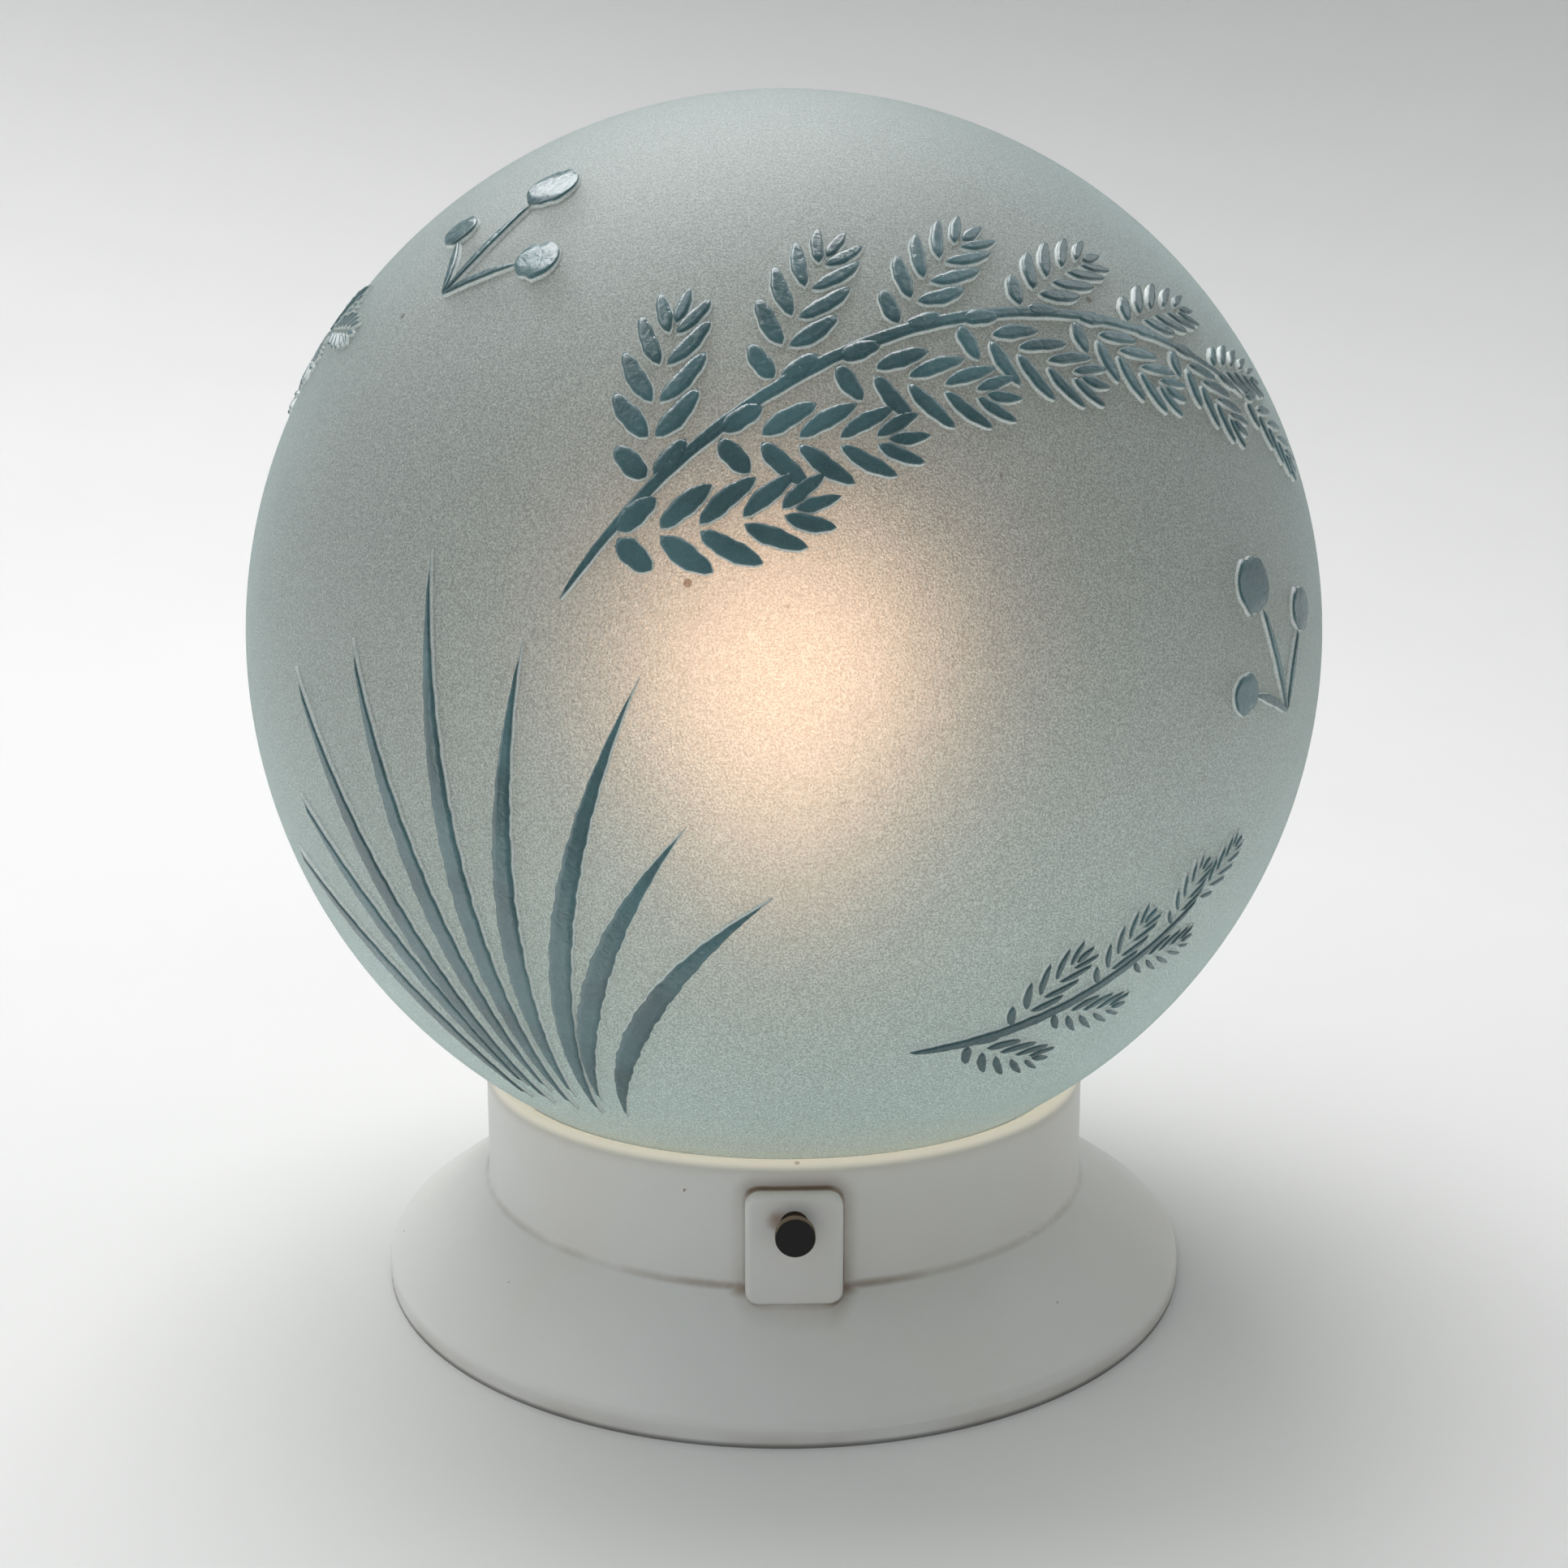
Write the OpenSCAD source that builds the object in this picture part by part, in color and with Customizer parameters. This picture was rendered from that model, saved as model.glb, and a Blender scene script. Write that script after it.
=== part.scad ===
// Ceiling lamp: a frosted glass globe clamped by three screws in a moulded collar,
// with a porcelain lampholder and a screw-in bulb inside.
// Millimetres. The origin is the centre of the face that goes against the ceiling,
// and +Z runs away from the ceiling, along the lamp's axis, to the globe.

/* [Globe] */
// Outer diameter of the globe
globe_d = 200; // [185:1:220]
// Wall thickness of the glass
glass_t = 3; // [2:0.1:4]
// Outer diameter of the waist of the neck
neck_d = 94; // [91:0.5:96]
// Radius of the hollow between the globe and its neck
neck_fillet = 4; // [3:0.5:6]
// Outer diameter of the bead round the mouth
bead_d = 102.4; // [100:0.2:104]
// Thickness of that bead
bead_t = 5.2; // [4:0.2:6.4]
// Height of the bead that the ground mouth takes away
mouth_ground = 1; // [0.4:0.1:1.6]

/* [Base] */
// Outer diameter of the collar
collar_d = 120; // [116:0.5:124]
// Height of the collar, from the ceiling to the top of its rim
collar_h = 38; // [36:0.5:44]
// Wall thickness of the moulding
wall_t = 3; // [2:0.1:3.4]
// Thickness of the rolled rim
rim_t = 4.4; // [4:0.1:5]
// Outer diameter of the flange
flange_d = 159; // [150:1:180]
// Height at which the flange meets the collar
flange_rise = 17; // [15:0.5:18]
// Height of the flange's outer edge
flange_edge = 4.8; // [4:0.1:7]
// Radius along the top of that edge
edge_round = 2.2; // [1:0.1:3]
// Radius in the corner between flange and collar
corner_fillet = 1.2; // [0.5:0.1:2.5]
// Number of ribs under the flange
rib_count = 12; // [6:1:24]
// Thickness of a rib
rib_t = 2; // [1:0.1:3]
// Gap between a rib and the ceiling
rib_lift = 1; // [0.5:0.1:1.5]
// Height of the two lugs that carry the strap
lug_h = 14.5; // [13:0.1:15]
// Width of a lug
lug_w = 20; // [14:0.5:26]
// How far a lug reaches in from the collar
lug_reach = 8; // [7.5:0.1:9]

/* [Strap] */
// Thickness of the steel strap across the collar
bar_t = 2.5; // [1.5:0.1:3]
// Width of the strap's arms
bar_w = 20; // [16:0.5:26]
// Diameter of the strap's round middle
hub_d = 50; // [46:0.5:56]
// Diameter of the wire hole in the middle
wire_hole_d = 32; // [30:1:36]
// Distance between the middles of the two slots
slot_pitch = 76; // [74:0.5:80]
// Width of a slot
slot_w = 5; // [4:0.1:6]
// Length of a slot, end to end
slot_l = 14; // [8:0.5:16]
// Diameter of the screws that hold the strap to its lugs
bar_screw_d = 3.5; // [2.5:0.1:4]
// Length of these screws under the head
bar_screw_l = 10; // [6:0.5:12]

/* [Clamp screws] */
// Height of the clamp screws above the ceiling
screw_z = 29; // [28.6:0.1:29.6]
// Thread diameter of a clamp screw
screw_d = 4; // [3:0.1:4.4]
// Length of a clamp screw under its head
screw_l = 17.2; // [16.6:0.1:19]
// Diameter of the hole that it passes through in its boss
screw_hole_d = 4.8; // [4.6:0.1:5.4]
// Diameter of its head
head_d = 6.6; // [5.5:0.1:8]
// Height of its head
head_h = 1.4; // [1:0.1:3]
// Radius along the edge of its head
head_round = 0.3; // [0.1:0.1:0.5]
// Width of a boss
boss_w = 16.2; // [12:0.2:20]
// How far a boss stands out from the collar
boss_t = 3; // [2:0.1:5]
// Height of the top of a boss above the ceiling
boss_top = 34; // [33.2:0.1:35]
// How far the foot of a boss's face is sunk into the flange
boss_sink = 0.3; // [0.1:0.1:1]
// Radius of a boss's corners, seen from the front
boss_corner = 2.4; // [1.4:0.1:3]
// Radius along the edges of a boss's face
boss_round = 1; // [0.4:0.1:1.3]
// Width of a captive nut
nut_w = 7; // [6.6:0.1:9]
// Thickness of a captive nut
nut_t = 2.2; // [1.6:0.1:2.6]
// Diameter of a soft tip
tip_d = 5.2; // [5:0.1:5.6]
// Length of a soft tip
tip_l = 5; // [4:0.1:5.4]
// Thickness of a soft tip in front of its screw
tip_nose = 2; // [1.5:0.1:2.5]

/* [Lampholder] */
// Diameter of the porcelain body
holder_d = 42; // [38:0.5:46]
// Height of the porcelain body above the strap
holder_h = 44; // [42:0.5:50]
// Radius along the top of the porcelain
holder_round = 2; // [0.5:0.1:3]
// Diameter of its round foot
foot_d = 48; // [46:0.5:52]
// Height of its foot and ears
foot_h = 8; // [6:0.5:10]
// Distance between the two holes in its ears
ear_pitch = 51; // [50:0.5:56]
// Width of an ear
ear_w = 14; // [12:0.5:18]
// Height of the socket's floor above the strap
socket_floor = 16; // [15:0.5:18]
// Diameter of the thread sleeve, inside
sleeve_d = 27; // [26.8:0.1:27.6]
// Thickness of the sheet that the sleeve is drawn from
sleeve_t = 0.5; // [0.3:0.1:0.8]
// Gap between the sleeve's edge and the top of the porcelain
sleeve_drop = 3; // [2:0.5:6]
// Inner diameter of the sleeve's bottom
sleeve_hole_d = 18; // [16.5:0.5:20]
// Side of a terminal block
terminal_w = 8; // [7:0.2:9]
// Length of a terminal block
terminal_l = 13; // [12:0.2:14]
// Diameter of a wire channel
wire_d = 3.4; // [2.5:0.1:4]
// Diameter of a terminal screw
terminal_screw_d = 3; // [2.5:0.1:3.5]
// Width of the spring strip under the bulb
strip_w = 6; // [4:0.5:8]
// Thickness of that strip
strip_t = 0.6; // [0.4:0.1:1]
// Height that the strip rises to
strip_rise = 4; // [3:0.1:5]
// Diameter of a rivet
rivet_d = 2.4; // [2:0.1:3]
// Diameter of the lampholder's fixing screws
fixing_d = 4; // [3:0.1:4.2]
// Length of these screws under the head
fixing_l = 16; // [15:0.5:18]
// Width across the flats of their nuts
fixing_nut_w = 7; // [6.5:0.1:8]
// Thickness of their nuts
fixing_nut_t = 3.2; // [2:0.1:3.6]

/* [Bulb] */
// Diameter of the bulb
bulb_d = 60; // [50:1:70]
// Length of the bulb, from its tip to its top
bulb_l = 108; // [98:1:120]
// Thickness of the bulb's glass
bulb_glass_t = 1; // [0.6:0.1:1.4]
// Outer diameter of the bulb's cap
cap_d = 26.3; // [25.6:0.1:26.4]
// Thickness of the cap's sheet
cap_t = 0.5; // [0.3:0.1:0.8]
// Length of the cap's cylinder
cap_l = 22; // [20:0.5:26]
// Height of the black glass under the cap
insulator_h = 4; // [3:0.1:5]
// Diameter of the solder tip
solder_d = 9.6; // [8:0.1:11]
// Height of the solder tip
solder_h = 1.4; // [1:0.1:2]
// Diameter of the ring that the filament runs round
filament_ring_d = 24; // [18:1:30]
// Diameter of the coiled filament
filament_d = 1.2; // [0.8:0.1:2]
// Height of the filament above the cap's lower edge
filament_up = 72; // [60:1:76]
// Diameter of the wires that hold the filament
lead_d = 0.8; // [0.5:0.1:1.2]

/* [Clearances] */
// Between the globe and the rim that it rests on
seat_gap = 0.25; // [0.1:0.05:0.5]
// Between a soft tip and the glass
tip_gap = 0.3; // [0.2:0.05:0.5]
// Round a thread, on the radius
thread_gap = 0.05; // [0.02:0.01:0.1]
// Round a part that drops into a pocket or a hole
pocket_gap = 0.2; // [0.1:0.05:0.4]
// Between the bulb's tip and the spring strip
contact_gap = 0.2; // [0.1:0.05:0.4]

/* [Hidden] */
$fn = 96;
HULL_FN = 32;
EPS = 0.01;
FUSE = 0.5;

SCREW_NAMES = ["front", "right", "left"];
SCREW_TURN = 120;
FRONT = -90;

// Collar and rim
collar_r = collar_d / 2;
collar_in_r = collar_r - wall_t;
rim_r = rim_t / 2;
rim_c = [collar_r - rim_r, collar_h - rim_r];

// Strap: it lies on the lugs, and its top carries the lampholder
bar_top = lug_h + bar_t;
lug_x = collar_in_r - lug_reach / 2;

// Flange: a cone from the collar, tangent to the round of its outer edge
flange_r = flange_d / 2;
edge_c = [flange_r - edge_round, flange_edge - edge_round];
cone_run = edge_c - [collar_r, flange_rise];
cone_slope = atan2(-cone_run[1], cone_run[0]) - asin(edge_round / norm(cone_run));
edge_touch = edge_c + edge_round * [sin(cone_slope), cos(cone_slope)];
function cone_z(r) = flange_rise - (r - collar_r) * tan(cone_slope);
function cone_under(r) = cone_z(r) - wall_t / cos(cone_slope);
corner_c = [collar_r + corner_fillet, cone_z(collar_r + corner_fillet) + corner_fillet / cos(cone_slope)];
corner_touch = corner_c - corner_fillet * [sin(cone_slope), cos(cone_slope)];

// Globe, seated on the rim, with its neck's groove at the clamp screws
globe_r = globe_d / 2;
globe_z = rim_c[1] + sqrt(pow(globe_r + rim_r + seat_gap, 2) - pow(rim_c[0], 2));
neck_r = neck_d / 2;
mouth_r = neck_r - glass_t;
neck_c = [
    neck_r + neck_fillet,
    globe_z - sqrt(pow(globe_r + neck_fillet, 2) - pow(neck_r + neck_fillet, 2))
];
neck_touch = [0, globe_z] + (neck_c - [0, globe_z]) * globe_r / (globe_r + neck_fillet);
bead_r = bead_t / 2;
bead_c = [bead_d / 2 - bead_r, screw_z - tip_d / 2 - bead_r - tip_gap];
mouth_z = bead_c[1] - bead_r + mouth_ground;

// Clamp screws: places along a screw's own axis, counted from the lamp's axis
boss_face = collar_r + boss_t;
boss_foot = cone_z(boss_face) - boss_sink;
tip_front = neck_r + tip_gap;
screw_end = tip_front + tip_nose;
screw_seat = screw_end + screw_l;
nut_face = collar_in_r;
nut_seat = nut_face + nut_t;

// Lampholder
socket_z = bar_top + socket_floor;
holder_top = bar_top + holder_h;
sleeve_out_r = sleeve_d / 2 + sleeve_t;
socket_r = sleeve_out_r + pocket_gap;
terminal_z = socket_z - socket_floor / 2 + 1;
terminal_in = 3;
terminal_out = terminal_in + terminal_l;
wire_x = terminal_out - terminal_w / 2;
live_rivet_x = 5;
neutral_rivet_x = (sleeve_hole_d / 2 + sleeve_d / 2) / 2;
terminal_head_l = 1.8;
rivet_head_d = rivet_d * 1.6;
rivet_head_h = 0.6;
strip_foot = rivet_head_d / 2 + strip_t;
strip_ramp = 2.5;
strip_land = 4;

// Bulb
bulb_foot = socket_z + strip_t + strip_rise + contact_gap;
cap_foot = bulb_foot + solder_h + insulator_h;
bulb_r = bulb_d / 2;
bulb_c = bulb_foot + bulb_l - bulb_r;
cap_in_r = cap_d / 2 - cap_t;
bulb_neck_r = cap_in_r - pocket_gap;
bulb_neck_foot = cap_foot + 3;
bulb_neck_top = cap_foot + cap_l + 2;
filament_z = cap_foot + filament_up;
filament_arc = 300;
stem_r = 2.5;
stem_flare_h = 12;
stem_top = filament_z - 16;
stem_flare_r = bulb_neck_r - bulb_glass_t - pocket_gap;
lead_reach = filament_ring_d / 2 - stem_r + lead_d;
lead_lean = atan2(lead_reach, filament_z - filament_d / 2 - stem_top);
lead_foot = stem_top + lead_d / 2 * sin(lead_lean) + EPS;

// Places a child whose +Z is a clamp screw's axis, pointing out of the lamp
module at_screw(i)
    rotate([0, 0, FRONT + SCREW_TURN * i])
        translate([0, 0, screw_z])
            rotate([0, 90, 0])
                children();

module obround(l, w) {
    square([l - w, w], center = true);
    for (side = [-1, 1])
        translate([side * (l - w) / 2, 0])
            circle(d = w);
}

module ring(r_out, r_in, h)
    difference() {
        cylinder(r = r_out, h = h);
        translate([0, 0, -EPS])
            cylinder(r = r_in, h = h + 2 * EPS);
    }

// The corner between two tangent faces, less the circle that rounds it
module fillet_2d(centre, touch_a, touch_b, inner, r)
    difference() {
        polygon([touch_a, centre, touch_b, inner]);
        translate(centre)
            circle(r);
    }

// Globe: a blown sphere, a waist for the screws and a bead with a ground mouth
module globe_section() {
    difference() {
        translate([0, globe_z])
            circle(globe_r);
        translate([0, globe_z])
            circle(globe_r - glass_t);
        translate([-globe_r - 1, globe_z - globe_r - 1])
            square([globe_r + 1, 2 * globe_r + 2]);
        translate([-1, 0])
            square([mouth_r + 1, globe_z]);
        square([neck_r, neck_touch[1] - glass_t]);
    }
    translate([mouth_r, mouth_z])
        square([glass_t, neck_touch[1] - mouth_z]);
    fillet_2d(neck_c, [neck_r, neck_c[1]], neck_touch, [neck_r - FUSE, neck_touch[1]], neck_fillet);
    intersection() {
        union() {
            translate(bead_c)
                circle(bead_r);
            translate([mouth_r, mouth_z])
                square([bead_c[0] - mouth_r, bead_c[1] - mouth_z]);
        }
        translate([mouth_r, mouth_z])
            square([bead_d, bead_t]);
    }
}

module globe()
    color([0.80, 0.89, 0.88, 0.6])
        rotate_extrude()
            globe_section();

// Base: collar with a rolled rim and a conical flange, hollow underneath
module collar_section() {
    translate([collar_in_r, 0])
        square([wall_t, rim_c[1]]);
    translate(rim_c)
        circle(rim_r);
}

module flange_section() {
    difference() {
        union() {
            polygon([
                [collar_r - FUSE, 0], [flange_r, 0], [flange_r, edge_c[1]], edge_c,
                edge_touch, [collar_r, flange_rise], [collar_r - FUSE, flange_rise]
            ]);
            translate(edge_c)
                circle(edge_round);
        }
        polygon([
            [collar_r, -1], [flange_r - wall_t, -1],
            [flange_r - wall_t, cone_under(flange_r - wall_t)], [collar_r, cone_under(collar_r)]
        ]);
    }
    fillet_2d(corner_c, [collar_r, corner_c[1]], corner_touch, [collar_r - FUSE, flange_rise - FUSE],
              corner_fillet);
}

module flange_ribs()
    for (i = [0 : rib_count - 1])
        rotate([0, 0, (i + 0.5) * 360 / rib_count])
            rotate([90, 0, 0])
                linear_extrude(rib_t, center = true)
                    polygon([
                        [collar_r - FUSE, rib_lift],
                        [flange_r - wall_t + FUSE, rib_lift],
                        [flange_r - wall_t + FUSE, cone_under(flange_r - wall_t) + FUSE],
                        [collar_r - FUSE, cone_under(collar_r) + FUSE]
                    ]);

// A boss is a flat pad with rounded corners and edges, sunk into the collar and the flange
module boss_corner_post()
    rotate_extrude($fn = HULL_FN) {
        translate([0, collar_in_r + FUSE])
            square([boss_corner, boss_face - boss_round - collar_in_r - FUSE]);
        translate([0, collar_in_r + FUSE])
            square([boss_corner - boss_round, boss_face - collar_in_r - FUSE]);
        translate([boss_corner - boss_round, boss_face - boss_round])
            intersection() {
                circle(boss_round, $fn = HULL_FN);
                square(boss_round);
            }
    }

module boss()
    hull()
        for (side = [-1, 1], z = [boss_foot + boss_corner, boss_top - boss_corner])
            translate([screw_z - z, side * (boss_w / 2 - boss_corner), 0])
                boss_corner_post();

// Lugs inside the collar, from the ceiling up to the strap
module lugs()
    linear_extrude(lug_h)
        intersection() {
            circle(collar_r - wall_t / 2);
            for (side = [-1, 1])
                translate([side * collar_r, 0])
                    square([2 * (wall_t + lug_reach), lug_w], center = true);
        }

module base_shell()
    color([0.87, 0.87, 0.84])
        difference() {
            union() {
                rotate_extrude() {
                    collar_section();
                    flange_section();
                }
                flange_ribs();
                lugs();
                for (i = [0 : len(SCREW_NAMES) - 1])
                    at_screw(i)
                        boss();
            }
            for (side = [-1, 1])
                translate([side * lug_x, 0, bar_top - bar_screw_l - 1])
                    cylinder(r = bar_screw_d / 2 + thread_gap, h = bar_screw_l + 1);
            for (i = [0 : len(SCREW_NAMES) - 1])
                at_screw(i) {
                    translate([0, 0, collar_in_r - 1])
                        cylinder(d = screw_hole_d, h = wall_t + boss_t + 2);
                    translate([0, 0, collar_in_r - 1 + (nut_t + 1) / 2])
                        cube([nut_w + 2 * pocket_gap, nut_w + 2 * pocket_gap, nut_t + 1], center = true);
                }
        }

// Strap: pressed steel across the collar, with a slot for a ceiling screw in each arm,
// a wire hole in the middle and an ear under each ear of the lampholder
module mounting_strap()
    color([0.72, 0.72, 0.70])
        translate([0, 0, lug_h])
            linear_extrude(bar_t)
                difference() {
                    union() {
                        obround(2 * (collar_in_r - pocket_gap), bar_w);
                        circle(d = hub_d);
                        rotate(90)
                            obround(ear_pitch + ear_w, ear_w);
                    }
                    circle(d = wire_hole_d);
                    for (side = [-1, 1]) {
                        translate([side * slot_pitch / 2, 0])
                            obround(slot_l, slot_w);
                        translate([0, side * ear_pitch / 2])
                            circle(fixing_d / 2 + pocket_gap);
                        translate([side * lug_x, 0])
                            circle(bar_screw_d / 2 + pocket_gap);
                    }
                }

// A pan-head screw, hanging from the plane that its head sits on
module pan_screw(d, l) {
    translate([0, 0, -l])
        cylinder(d = d, h = l + FUSE);
    cylinder(d = d * 1.75, h = d * 0.6);
}

module strap_screws()
    color("silver")
        for (side = [-1, 1])
            translate([side * lug_x, 0, bar_top])
                pan_screw(bar_screw_d, bar_screw_l);

// Square nuts, held in the backs of the bosses
module captive_nuts()
    color("silver")
        for (i = [0 : len(SCREW_NAMES) - 1])
            at_screw(i)
                translate([0, 0, nut_face])
                    difference() {
                        translate([-nut_w / 2, -nut_w / 2, 0])
                            cube([nut_w, nut_w, nut_t]);
                        translate([0, 0, -1])
                            cylinder(r = screw_d / 2 + thread_gap, h = nut_t + 2);
                    }

// A thumb screw: a long shank with a thin, round head that is turned with the fingers
module clamp_screw(i)
    color([0.05, 0.05, 0.05])
        at_screw(i)
            rotate_extrude() {
                translate([0, screw_end])
                    square([screw_d / 2, screw_l + FUSE]);
                translate([0, screw_seat])
                    square([head_d / 2, head_h - head_round]);
                translate([0, screw_seat + FUSE])
                    square([head_d / 2 - head_round, head_h - FUSE]);
                translate([head_d / 2 - head_round, screw_seat + head_h - head_round])
                    intersection() {
                        circle(head_round);
                        square(head_round);
                    }
            }

// A soft tip: a domed cap over the end of a clamp screw, lying in the neck's groove
module soft_tip(i)
    color([0.75, 0.73, 0.68])
        at_screw(i)
            rotate_extrude()
                difference() {
                    union() {
                        translate([0, tip_front + tip_d / 2])
                            intersection() {
                                circle(d = tip_d);
                                translate([0, -tip_d / 2])
                                    square([tip_d / 2, tip_d / 2]);
                            }
                        translate([0, tip_front + tip_d / 2])
                            square([tip_d / 2, tip_l - tip_d / 2]);
                    }
                    translate([-1, screw_end])
                        square([screw_d / 2 + thread_gap + 1, tip_l]);
                }

// Lampholder: porcelain with a socket, two ears and a pocket for each terminal
module lampholder_foot()
    translate([0, 0, bar_top])
        linear_extrude(foot_h) {
            circle(d = foot_d);
            rotate(90)
                obround(ear_pitch + ear_w, ear_w);
        }

module porcelain_section() {
    translate([0, bar_top])
        square([holder_d / 2, holder_h - holder_round]);
    translate([0, bar_top])
        square([holder_d / 2 - holder_round, holder_h]);
    translate([holder_d / 2 - holder_round, holder_top - holder_round])
        intersection() {
            circle(holder_round);
            square(holder_round);
        }
}

module terminal_pocket(side)
    translate([side > 0 ? terminal_in - pocket_gap : -foot_d, -terminal_w / 2 - pocket_gap,
               terminal_z - terminal_w / 2])
        cube([foot_d - terminal_in + pocket_gap, terminal_w + 2 * pocket_gap, terminal_w]);

module lampholder_body()
    color([0.93, 0.92, 0.88])
        difference() {
            union() {
                rotate_extrude()
                    porcelain_section();
                lampholder_foot();
            }
            translate([0, 0, socket_z])
                cylinder(r = socket_r, h = holder_h);
            for (side = [-1, 1]) {
                terminal_pocket(side);
                translate([side * wire_x, 0, bar_top - 1])
                    cylinder(r = wire_d / 2 + pocket_gap, h = terminal_z - bar_top);
                translate([0, side * ear_pitch / 2, bar_top - 1])
                    cylinder(r = fixing_d / 2 + pocket_gap, h = foot_h + 2);
            }
            for (x = [-live_rivet_x, neutral_rivet_x])
                translate([x, 0, terminal_z])
                    cylinder(r = rivet_d / 2 + thread_gap, h = holder_h);
        }

// Thread sleeve of the socket, with the ring in its bottom that its rivet holds
module thread_sleeve()
    color([0.80, 0.68, 0.36])
        translate([0, 0, socket_z])
            difference() {
                union() {
                    ring(sleeve_out_r, sleeve_d / 2, holder_h - socket_floor - sleeve_drop);
                    ring(sleeve_out_r - sleeve_t / 2, sleeve_hole_d / 2, sleeve_t);
                }
                translate([neutral_rivet_x, 0, -1])
                    cylinder(r = rivet_d / 2 + thread_gap, h = sleeve_t + 2);
            }

// Spring strip: flat where it is riveted, then rising to the bulb's tip
module spring_strip() {
    bend = -live_rivet_x + strip_foot;
    end = bend + strip_ramp + strip_land;
    color([0.80, 0.62, 0.28])
        translate([0, 0, socket_z])
            difference() {
                rotate([90, 0, 0])
                    linear_extrude(strip_w, center = true)
                        polygon([
                            [-live_rivet_x - strip_foot, 0], [bend, 0],
                            [bend + strip_ramp, strip_rise], [end, strip_rise],
                            [end, strip_rise + strip_t], [bend + strip_ramp - strip_t / 2, strip_rise + strip_t],
                            [bend - strip_t / 2, strip_t], [-live_rivet_x - strip_foot, strip_t]
                        ]);
                translate([-live_rivet_x, 0, -1])
                    cylinder(r = rivet_d / 2 + thread_gap, h = strip_t + 2);
            }
}

// Rivets that join the strip and the sleeve to their terminals
module rivet(x, under)
    translate([x, 0, 0]) {
        translate([0, 0, terminal_z + terminal_w / 2])
            cylinder(d = rivet_d, h = under - terminal_z - terminal_w / 2 + FUSE);
        translate([0, 0, under])
            cylinder(d = rivet_head_d, h = rivet_head_h);
    }

module rivets()
    color([0.80, 0.68, 0.36]) {
        rivet(-live_rivet_x, socket_z + strip_t);
        rivet(neutral_rivet_x, socket_z + sleeve_t);
    }

// A terminal block, with a hole for the wire and one for its screw
module terminal(side)
    color([0.82, 0.70, 0.38])
        difference() {
            translate([side > 0 ? terminal_in : -terminal_out, -terminal_w / 2, terminal_z - terminal_w / 2])
                cube([terminal_l, terminal_w, terminal_w]);
            translate([side * wire_x, 0, terminal_z - terminal_w])
                cylinder(d = wire_d, h = terminal_w);
            translate([side * wire_x, 0, terminal_z])
                rotate([0, side * 90, 0])
                    cylinder(r = terminal_screw_d / 2 + thread_gap, h = terminal_l);
        }

module terminal_screws()
    color("silver")
        for (side = [-1, 1])
            translate([side * wire_x, 0, terminal_z])
                rotate([0, side * 90, 0]) {
                    translate([0, 0, wire_d / 2])
                        cylinder(d = terminal_screw_d, h = terminal_out - wire_x - wire_d / 2 + FUSE);
                    translate([0, 0, terminal_out - wire_x])
                        cylinder(d = terminal_screw_d * 1.6, h = terminal_head_l);
                }

// Screws and hex nuts that hold the lampholder's ears to the strap
module holder_screws()
    color("silver")
        for (side = [-1, 1])
            translate([0, side * ear_pitch / 2, bar_top + foot_h])
                pan_screw(fixing_d, fixing_l);

module holder_nuts()
    color("silver")
        for (side = [-1, 1])
            translate([0, side * ear_pitch / 2, lug_h - fixing_nut_t])
                difference() {
                    cylinder(d = fixing_nut_w / cos(30), h = fixing_nut_t, $fn = 6);
                    translate([0, 0, -1])
                        cylinder(r = fixing_d / 2 + thread_gap, h = fixing_nut_t + 2);
                }

// Bulb: pear-shaped glass, with a neck that goes down into the cap
module bulb_outline(r, neck, foot) {
    reach = norm([neck, bulb_c - bulb_neck_top]);
    touch = atan2(bulb_neck_top - bulb_c, neck) + acos(r / reach);
    translate([0, bulb_c])
        circle(r);
    polygon([
        [0, bulb_c], [0, foot], [neck, foot], [neck, bulb_neck_top],
        [r * cos(touch), bulb_c + r * sin(touch)]
    ]);
}

module bulb_glass()
    color([1.0, 0.97, 0.90, 0.7])
        rotate_extrude()
            difference() {
                bulb_outline(bulb_r, bulb_neck_r, bulb_neck_foot);
                bulb_outline(bulb_r - bulb_glass_t, bulb_neck_r - bulb_glass_t, bulb_neck_foot - 1);
                translate([-bulb_d, 0])
                    square([bulb_d, bulb_foot + 2 * bulb_l]);
            }

module bulb_cap()
    color([0.82, 0.82, 0.80])
        translate([0, 0, cap_foot])
            ring(cap_d / 2, cap_in_r, cap_l);

// Black glass that closes the bottom of the cap, and the solder tip below it
module bulb_insulator()
    color([0.06, 0.06, 0.07])
        rotate_extrude()
            polygon([
                [0, cap_foot - insulator_h], [solder_d / 2, cap_foot - insulator_h],
                [cap_d / 2, cap_foot], [cap_in_r, cap_foot],
                [cap_in_r, bulb_neck_foot - pocket_gap], [0, bulb_neck_foot - pocket_gap]
            ]);

module bulb_tip()
    color([0.70, 0.71, 0.72])
        translate([0, 0, bulb_foot])
            cylinder(d = solder_d, h = solder_h);

// Glass stem: a flare that joins the neck, and the rod that holds the wires
module bulb_stem()
    color([0.90, 0.93, 0.93, 0.6])
        rotate_extrude()
            polygon([
                [0, bulb_neck_foot], [stem_flare_r, bulb_neck_foot], [stem_r, bulb_neck_foot + stem_flare_h],
                [stem_r, stem_top], [0, stem_top]
            ]);

module bulb_leads()
    color([0.55, 0.52, 0.50])
        for (end = [-1, 1])
            rotate([0, 0, end * (180 - (360 - filament_arc) / 2)])
                translate([stem_r - lead_d, 0, lead_foot])
                    rotate([0, lead_lean, 0])
                        cylinder(d = lead_d, h = lead_reach / sin(lead_lean) - lead_d);

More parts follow.
